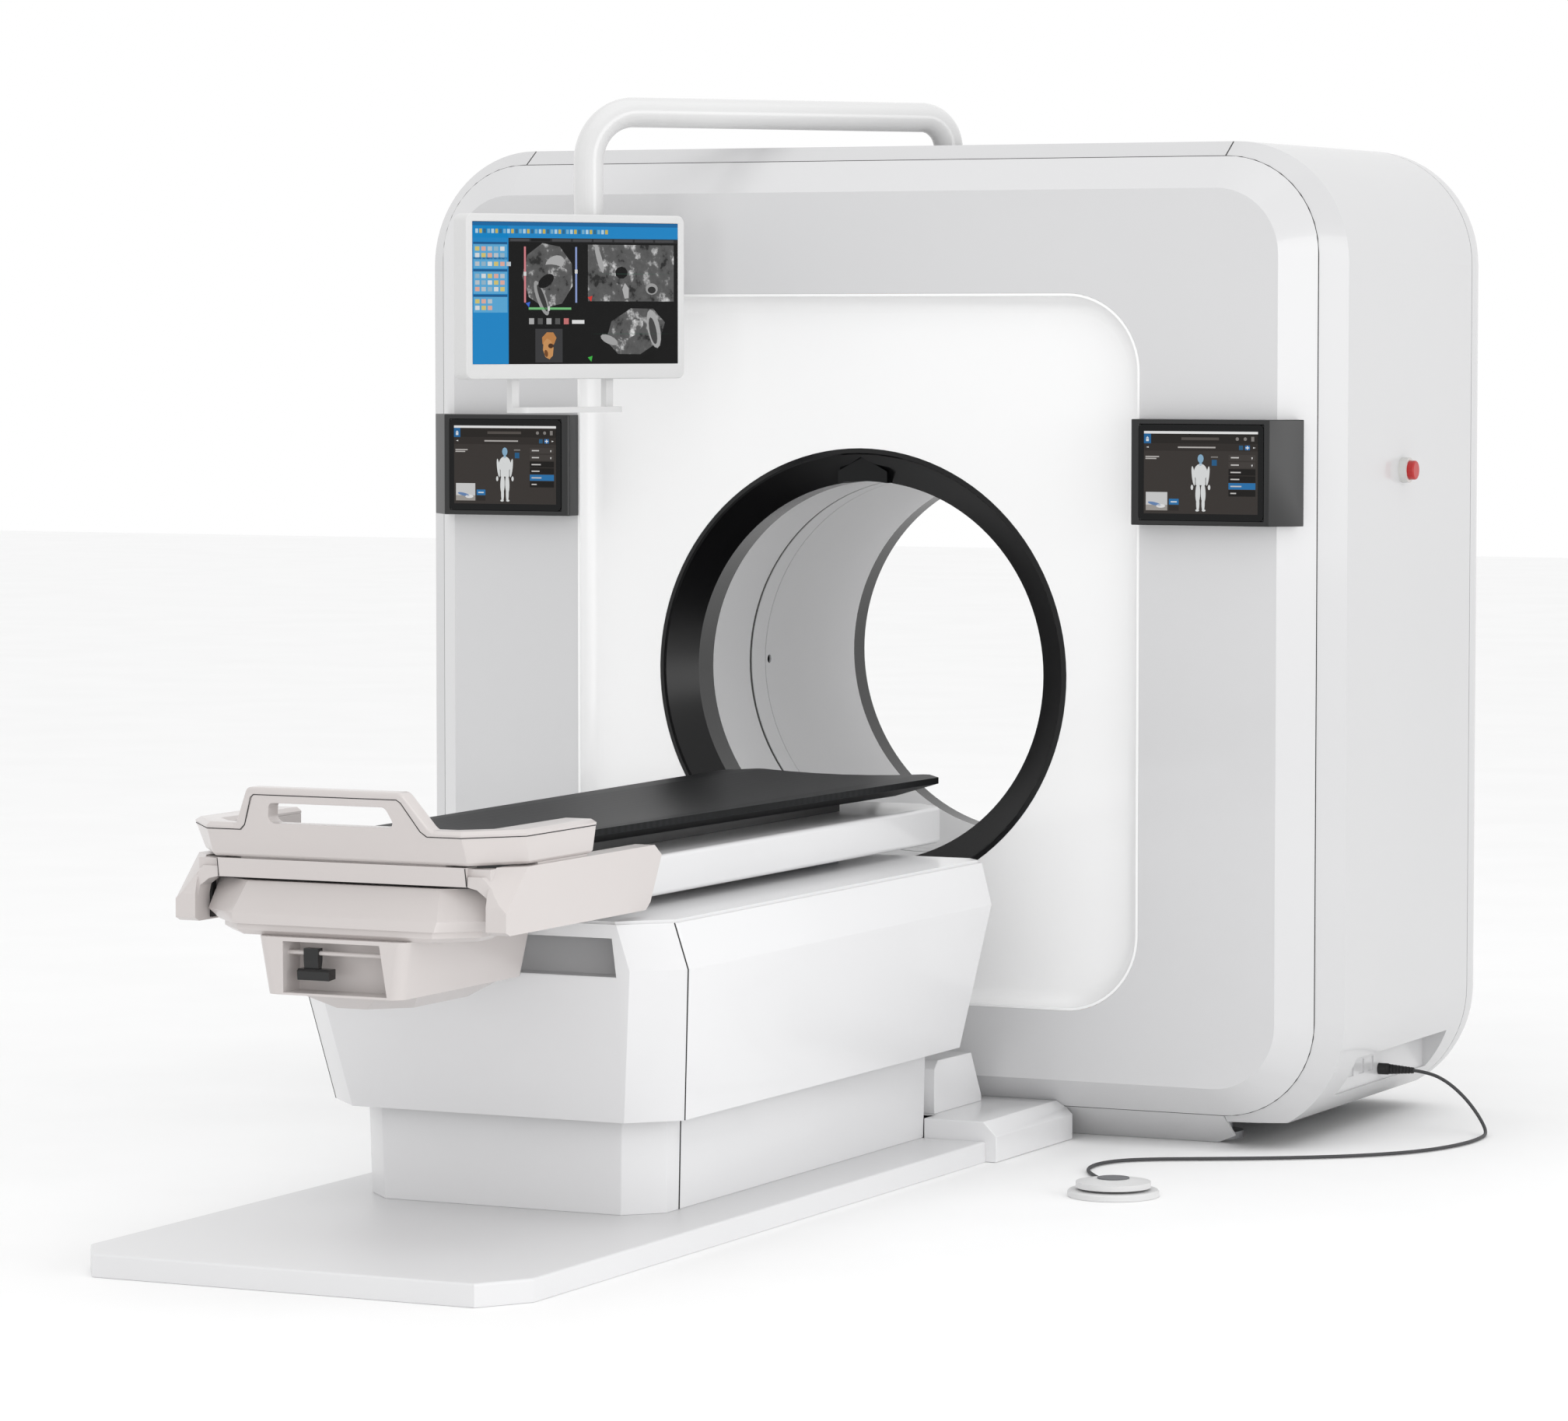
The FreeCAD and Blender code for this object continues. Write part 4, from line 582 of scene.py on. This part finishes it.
class SCANNER_OT_softened_edges(bpy.types.Operator):
    """Rounds the edges of the couch's and the monitor's mouldings on copies of them"""
    bl_idname = "scanner.softened_edges"
    bl_label = "Softened Edges"

    # nodes, width of the rounding in mm, body they ride on, material slot
    GROUPS = [
        (("skirt_panels", "link_cover", "link_tower"), 1.8, "base", "couch_white"),
        (("housing_front", "housing_left", "housing_right", "beam"), 1.8, "lift", "couch_white"),
        (("hood", "lower_box"), 3.5, "lift", "module_white"),
        (("guard", "guard_cap", "end_frame"), 3.0, "slide", "module_white"),
        (("touchscreen_housings",), 2.5, "base", "black_plastic"),
        (("monitor_housing",), 3.0, "monitor", "cover_white"),
    ]

    MERGE = 0.00002                     # corners nearer than this are one
    FLAT = math.radians(0.6)            # faces flatter than this are one
    SHARP = math.radians(14)            # edges sharper than this are rounded
    SMOOTH = math.radians(13)           # edges flatter than this are shaded smooth
    SEGMENTS = 3

    def soften(self, node, width):
        """Copy of a node with its sharp edges rounded."""
        copy = NODES[node].copy()
        copy.data = NODES[node].data.copy()
        copy.name = node + "_softened"
        bpy.context.scene.collection.objects.link(copy)
        pick(copy)
        bpy.ops.mesh.customdata_custom_splitnormals_clear()
        bpy.ops.object.mode_set(mode="EDIT")
        bpy.ops.mesh.select_all(action="SELECT")
        bpy.ops.mesh.remove_doubles(threshold=self.MERGE)
        bpy.ops.mesh.dissolve_limited(angle_limit=self.FLAT)
        bpy.ops.object.mode_set(mode="OBJECT")
        bevel = copy.modifiers.new("rounding", "BEVEL")
        bevel.width = width * MM
        bevel.segments = self.SEGMENTS
        bevel.limit_method = "ANGLE"
        bevel.angle_limit = self.SHARP
        bpy.ops.object.modifier_apply(modifier="rounding")
        bpy.ops.object.shade_smooth_by_angle(angle=self.SMOOTH)
        return copy

    def execute(self, context):
        for nodes, width, body, slot_name in self.GROUPS:
            for node in nodes:
                copy = self.soften(node, width)
                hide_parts(node)
                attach(copy, body)
        return {"FINISHED"}


class SCANNER_OT_seams(bpy.types.Operator):
    """Lays dark seals in the seams between the covers, and black strips of painted shade in the gap behind
    the hood
    """
    bl_idname = "scanner.seams"
    bl_label = "Seams"

    COUCH_Y = 0.706         # from the bore's front to the frame's origin, along the couch

    def line(self, name, points, width_mm, body):
        """Soft seal along the points, given in mm from the bore's front."""
        curve = bpy.data.curves.new(name, "CURVE")
        curve.dimensions = "3D"
        curve.bevel_depth = width_mm * MM / 2
        curve.bevel_resolution = 3
        curve.use_fill_caps = True
        path = curve.splines.new("POLY")
        path.points.add(len(points) - 1)
        for point, (x, y, z) in zip(path.points, points):
            point.co = (x * MM, y * MM + self.COUCH_Y, z * MM, 1)
        seal = bpy.data.objects.new(name, curve)
        bpy.context.scene.collection.objects.link(seal)
        pick(seal)
        bpy.ops.object.convert(target="MESH")
        seal = bpy.context.object
        seal.name = name
        seal.data.materials.append(self.rubber)
        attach(seal, body)

    @staticmethod
    def rounded_frame(half, low, high, radius, y):
        """Closed rounded rectangle facing along the couch."""
        points = []
        for cx, cz, start in ((half - radius, high - radius, 0), (radius - half, high - radius, 90),
                              (radius - half, low + radius, 180), (half - radius, low + radius, 270)):
            for part in range(11):
                turn = math.radians(start + 9 * part)
                points.append((cx + radius * math.cos(turn), y, cz + radius * math.sin(turn)))
        return points + points[:1]

    def execute(self, context):
        # One dark finish serves both the seam seals and the painted shade strips in the hood gap.
        self.rubber = rubber("epdm_seam_seal_and_gap_shade", linear("#1B1A1A"))
        self.line("gantry_seam_seal", self.rounded_frame(965.4, 66.6, 1944.4, 189.4, 25.5), 3.6, "base")
        for side in (-1, 1):
            hand = "right" if side > 0 else "left"
            top = [(771.5 * side, 26, 1942), (771.5 * side, 71, 1972.5), (771.5 * side, 815, 1972.5)]
            self.line(hand + "_top_seam_seal", top, 4.0, "base")
            corner = [(354.6 * side, -1490, 214), (396 * side, -1558.5, 490), (379.6 * side, -1579, 573)]
            self.line(hand + "_housing_seam_seal", corner, 2.6, "lift")
            skirt = [(300 * side, -1405.2, 41), (306 * side, -1405.2, 330)]
            self.line(hand + "_skirt_seam_seal", skirt, 3.0, "base")
            bar = [(242 * side, -2087.6, 704), (242 * side, -2081.8, 673)]
            self.line(hand + "_frame_seam_seal", bar, 1.8, "slide")
        front = -2110.0
        edge = [(324.3, -1770, 757), (324.3, front + 90, 757), (248, front, 757), (182, front - 0.2, 757),
                (171, front - 4.1, 766), (146, front - 26, 815), (139, front - 28.4, 820)]
        ring = edge + [(-x, y, z) for x, y, z in reversed(edge)]
        self.line("guard_seam_seal", ring, 1.8, "slide")
        self.gap_shade_strips()
        return {"FINISHED"}

    def gap_shade_strips(self):
        """Black strips of painted shade deep in the gap between the end frame and the hood, where the gap is
        dark only from shade.
        """
        boxes = [(-283, 283, -2064, -2050, 668.7, 671.6)]
        boxes += [(side * 281.2 - 2.3, side * 281.2 + 2.3, -2044, -2030, 597, 671.6) for side in (-1, 1)]
        strips = []
        for x0, x1, y0, y1, z0, z1 in boxes:
            deselect()
            place = ((x0 + x1) / 2 * MM, (y0 + y1) / 2 * MM + self.COUCH_Y, (z0 + z1) / 2 * MM)
            bpy.ops.mesh.primitive_cube_add(size=1, location=place)
            strip = bpy.context.object
            strip.scale = ((x1 - x0) * MM, (y1 - y0) * MM, (z1 - z0) * MM)
            strips.append(settle(strip, "gap_shade_strip", self.rubber))
        strips = join(strips, "hood_gap_shade_strips")
        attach(strips, "slide")


class SCANNER_OT_touchscreen_pages(bpy.types.Operator):
    """Lays a control page on each touchscreen"""
    bl_idname = "scanner.touchscreen_pages"
    bl_label = "Touchscreen Pages"

    INNER_EDGE = 0.636      # from the gantry's middle to the inner edge of each glass

    def execute(self, context):
        low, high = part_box("touchscreen_glasses")
        middle_z = (low[2] + high[2]) / 2
        face = low[1] - PAGE_GAP
        middle_x = self.INNER_EDGE + (high[0] - self.INNER_EDGE) / 2
        for name, centre in (("left_control_page", -middle_x), ("right_control_page", middle_x)):
            page = draw_control_page()
            corner = Vector((centre - page.width / 2, face, middle_z - page.height / 2))
            page.finish(name, corner, 0, "base", "screen_glass")
        return {"FINISHED"}


class SCANNER_OT_monitor_page(bpy.types.Operator):
    """Lays the section pictures on the overhead monitor"""
    bl_idname = "scanner.monitor_page"
    bl_label = "Monitor Page"

    TURN = math.radians(62.7)       # of the monitor about the upright, at rest

    def execute(self, context):
        low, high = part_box("monitor_screen")
        across = Vector((math.cos(self.TURN), math.sin(self.TURN), 0))
        facing = Vector((math.sin(self.TURN), -math.cos(self.TURN), 0))
        mesh = NODES["monitor_screen"].data
        front = max(v.co @ facing for v in mesh.vertices)
        left = min(v.co @ across for v in mesh.vertices)
        corner = across * left + facing * (front + PAGE_GAP) + Vector((0, 0, low[2]))
        draw_scan_page().finish("monitor_page", corner, self.TURN, "monitor", "screen_glass")
        return {"FINISHED"}


class SCANNER_OT_stage(bpy.types.Operator):
    """Sets the pale floor, the soft lights and the camera"""
    bl_idname = "scanner.stage"
    bl_label = "Stage"

    # name, place, aim, width and height in metres, power in watts
    LAMPS = [
        ("left_softbox", (-5.5, -5.5, 4.2), (0, 0.3, 0.9), (4.0, 3.5), 8),
        ("right_softbox", (8.0, -1.8, 2.3), (0.4, 0.0, 0.7), (4.0, 3.0), 100),
        ("low_fill", (5.5, -6.0, 0.9), (0.5, -0.3, 0.4), (5.0, 1.6), 62),
        ("overhead_softbox", (0, -0.5, 6.0), (0, 0.2, 0), (6.0, 6.0), 42),
    ]
    FLOOR_DROP = 0.0005     # keeps the floor clear of the flat undersides
    CAMERA_PLACE = (5.0644, -10.1431, 1.6103)
    HEADING = math.radians(25.7546)
    DIP = math.radians(3.665)
    LENS = 137.0

    def lamp(self, name, place, aim, size, power):
        """Soft rectangular lamp that faces its aim."""
        light = bpy.data.lights.new(name, "AREA")
        light.shape = "RECTANGLE"
        light.size, light.size_y = size
        light.energy = power
        lamp = bpy.data.objects.new(name, light)
        lamp.location = place
        lamp.rotation_euler = (Vector(aim) - Vector(place)).to_track_quat("-Z", "Y").to_euler()
        bpy.context.scene.collection.objects.link(lamp)

    def execute(self, context):
        size = context.scene.scanner_sizes.floor_size
        deselect()
        bpy.ops.mesh.primitive_plane_add(size=size, location=(0, 0, -self.FLOOR_DROP))
        floor = settle(context.object, "studio_floor",
                       powder_coat("matt_studio_floor", linear("#FAFAFA"), 0.8))
        world = bpy.data.worlds.new("white_studio")
        world.use_nodes = True
        background = world.node_tree.nodes["Background"]
        background.inputs["Color"].default_value = (1, 1, 1, 1)
        background.inputs["Strength"].default_value = 1.0
        context.scene.world = world
        for name, place, aim, extent, power in self.LAMPS:
            self.lamp(name, place, aim, extent, power)
        context.scene.view_settings.view_transform = "Standard"
        camera = bpy.data.cameras.new("studio_camera")
        camera.lens = self.LENS
        camera.sensor_width = 36
        camera.sensor_fit = "HORIZONTAL"
        camera.clip_end = 200
        view = bpy.data.objects.new("studio_camera", camera)
        view.location = self.CAMERA_PLACE
        view.rotation_euler = (math.pi / 2 - self.DIP, 0, self.HEADING)
        context.scene.collection.objects.link(view)
        context.scene.camera = view
        return {"FINISHED"}


class SCANNER_PT_panel(bpy.types.Panel):
    """Shows the scanner's colours, sizes and operators in the sidebar"""
    bl_idname = "SCANNER_PT_panel"
    bl_label = "Ring Scanner"
    bl_space_type = "VIEW_3D"
    bl_region_type = "UI"
    bl_category = "Scanner"

    def draw(self, context):
        for group in (context.scene.scanner_colours, context.scene.scanner_sizes):
            for name in group.bl_rna.properties.keys():
                if name not in ("rna_type", "name"):
                    self.layout.prop(group, name)
        for operator in OPERATORS:
            self.layout.operator(operator.bl_idname)


# in the order in which they run
OPERATORS = [SCANNER_OT_stage, SCANNER_OT_foot_cord, SCANNER_OT_finishes, SCANNER_OT_softened_edges,
             SCANNER_OT_seams, SCANNER_OT_touchscreen_pages, SCANNER_OT_monitor_page]
CLASSES = [ScannerColours, ScannerSizes] + OPERATORS + [SCANNER_PT_panel]


def register():
    for cls in CLASSES:
        bpy.utils.register_class(cls)
    bpy.types.Scene.scanner_colours = PointerProperty(type=ScannerColours)
    bpy.types.Scene.scanner_sizes = PointerProperty(type=ScannerSizes)


def unregister():
    del bpy.types.Scene.scanner_colours
    del bpy.types.Scene.scanner_sizes
    for cls in reversed(CLASSES):
        bpy.utils.unregister_class(cls)


def main():
    """Runs the operators."""
    register()
    for operator in OPERATORS:
        group, name = operator.bl_idname.split(".")
        getattr(getattr(bpy.ops, group), name)()


if __name__ == "__main__":
    main()
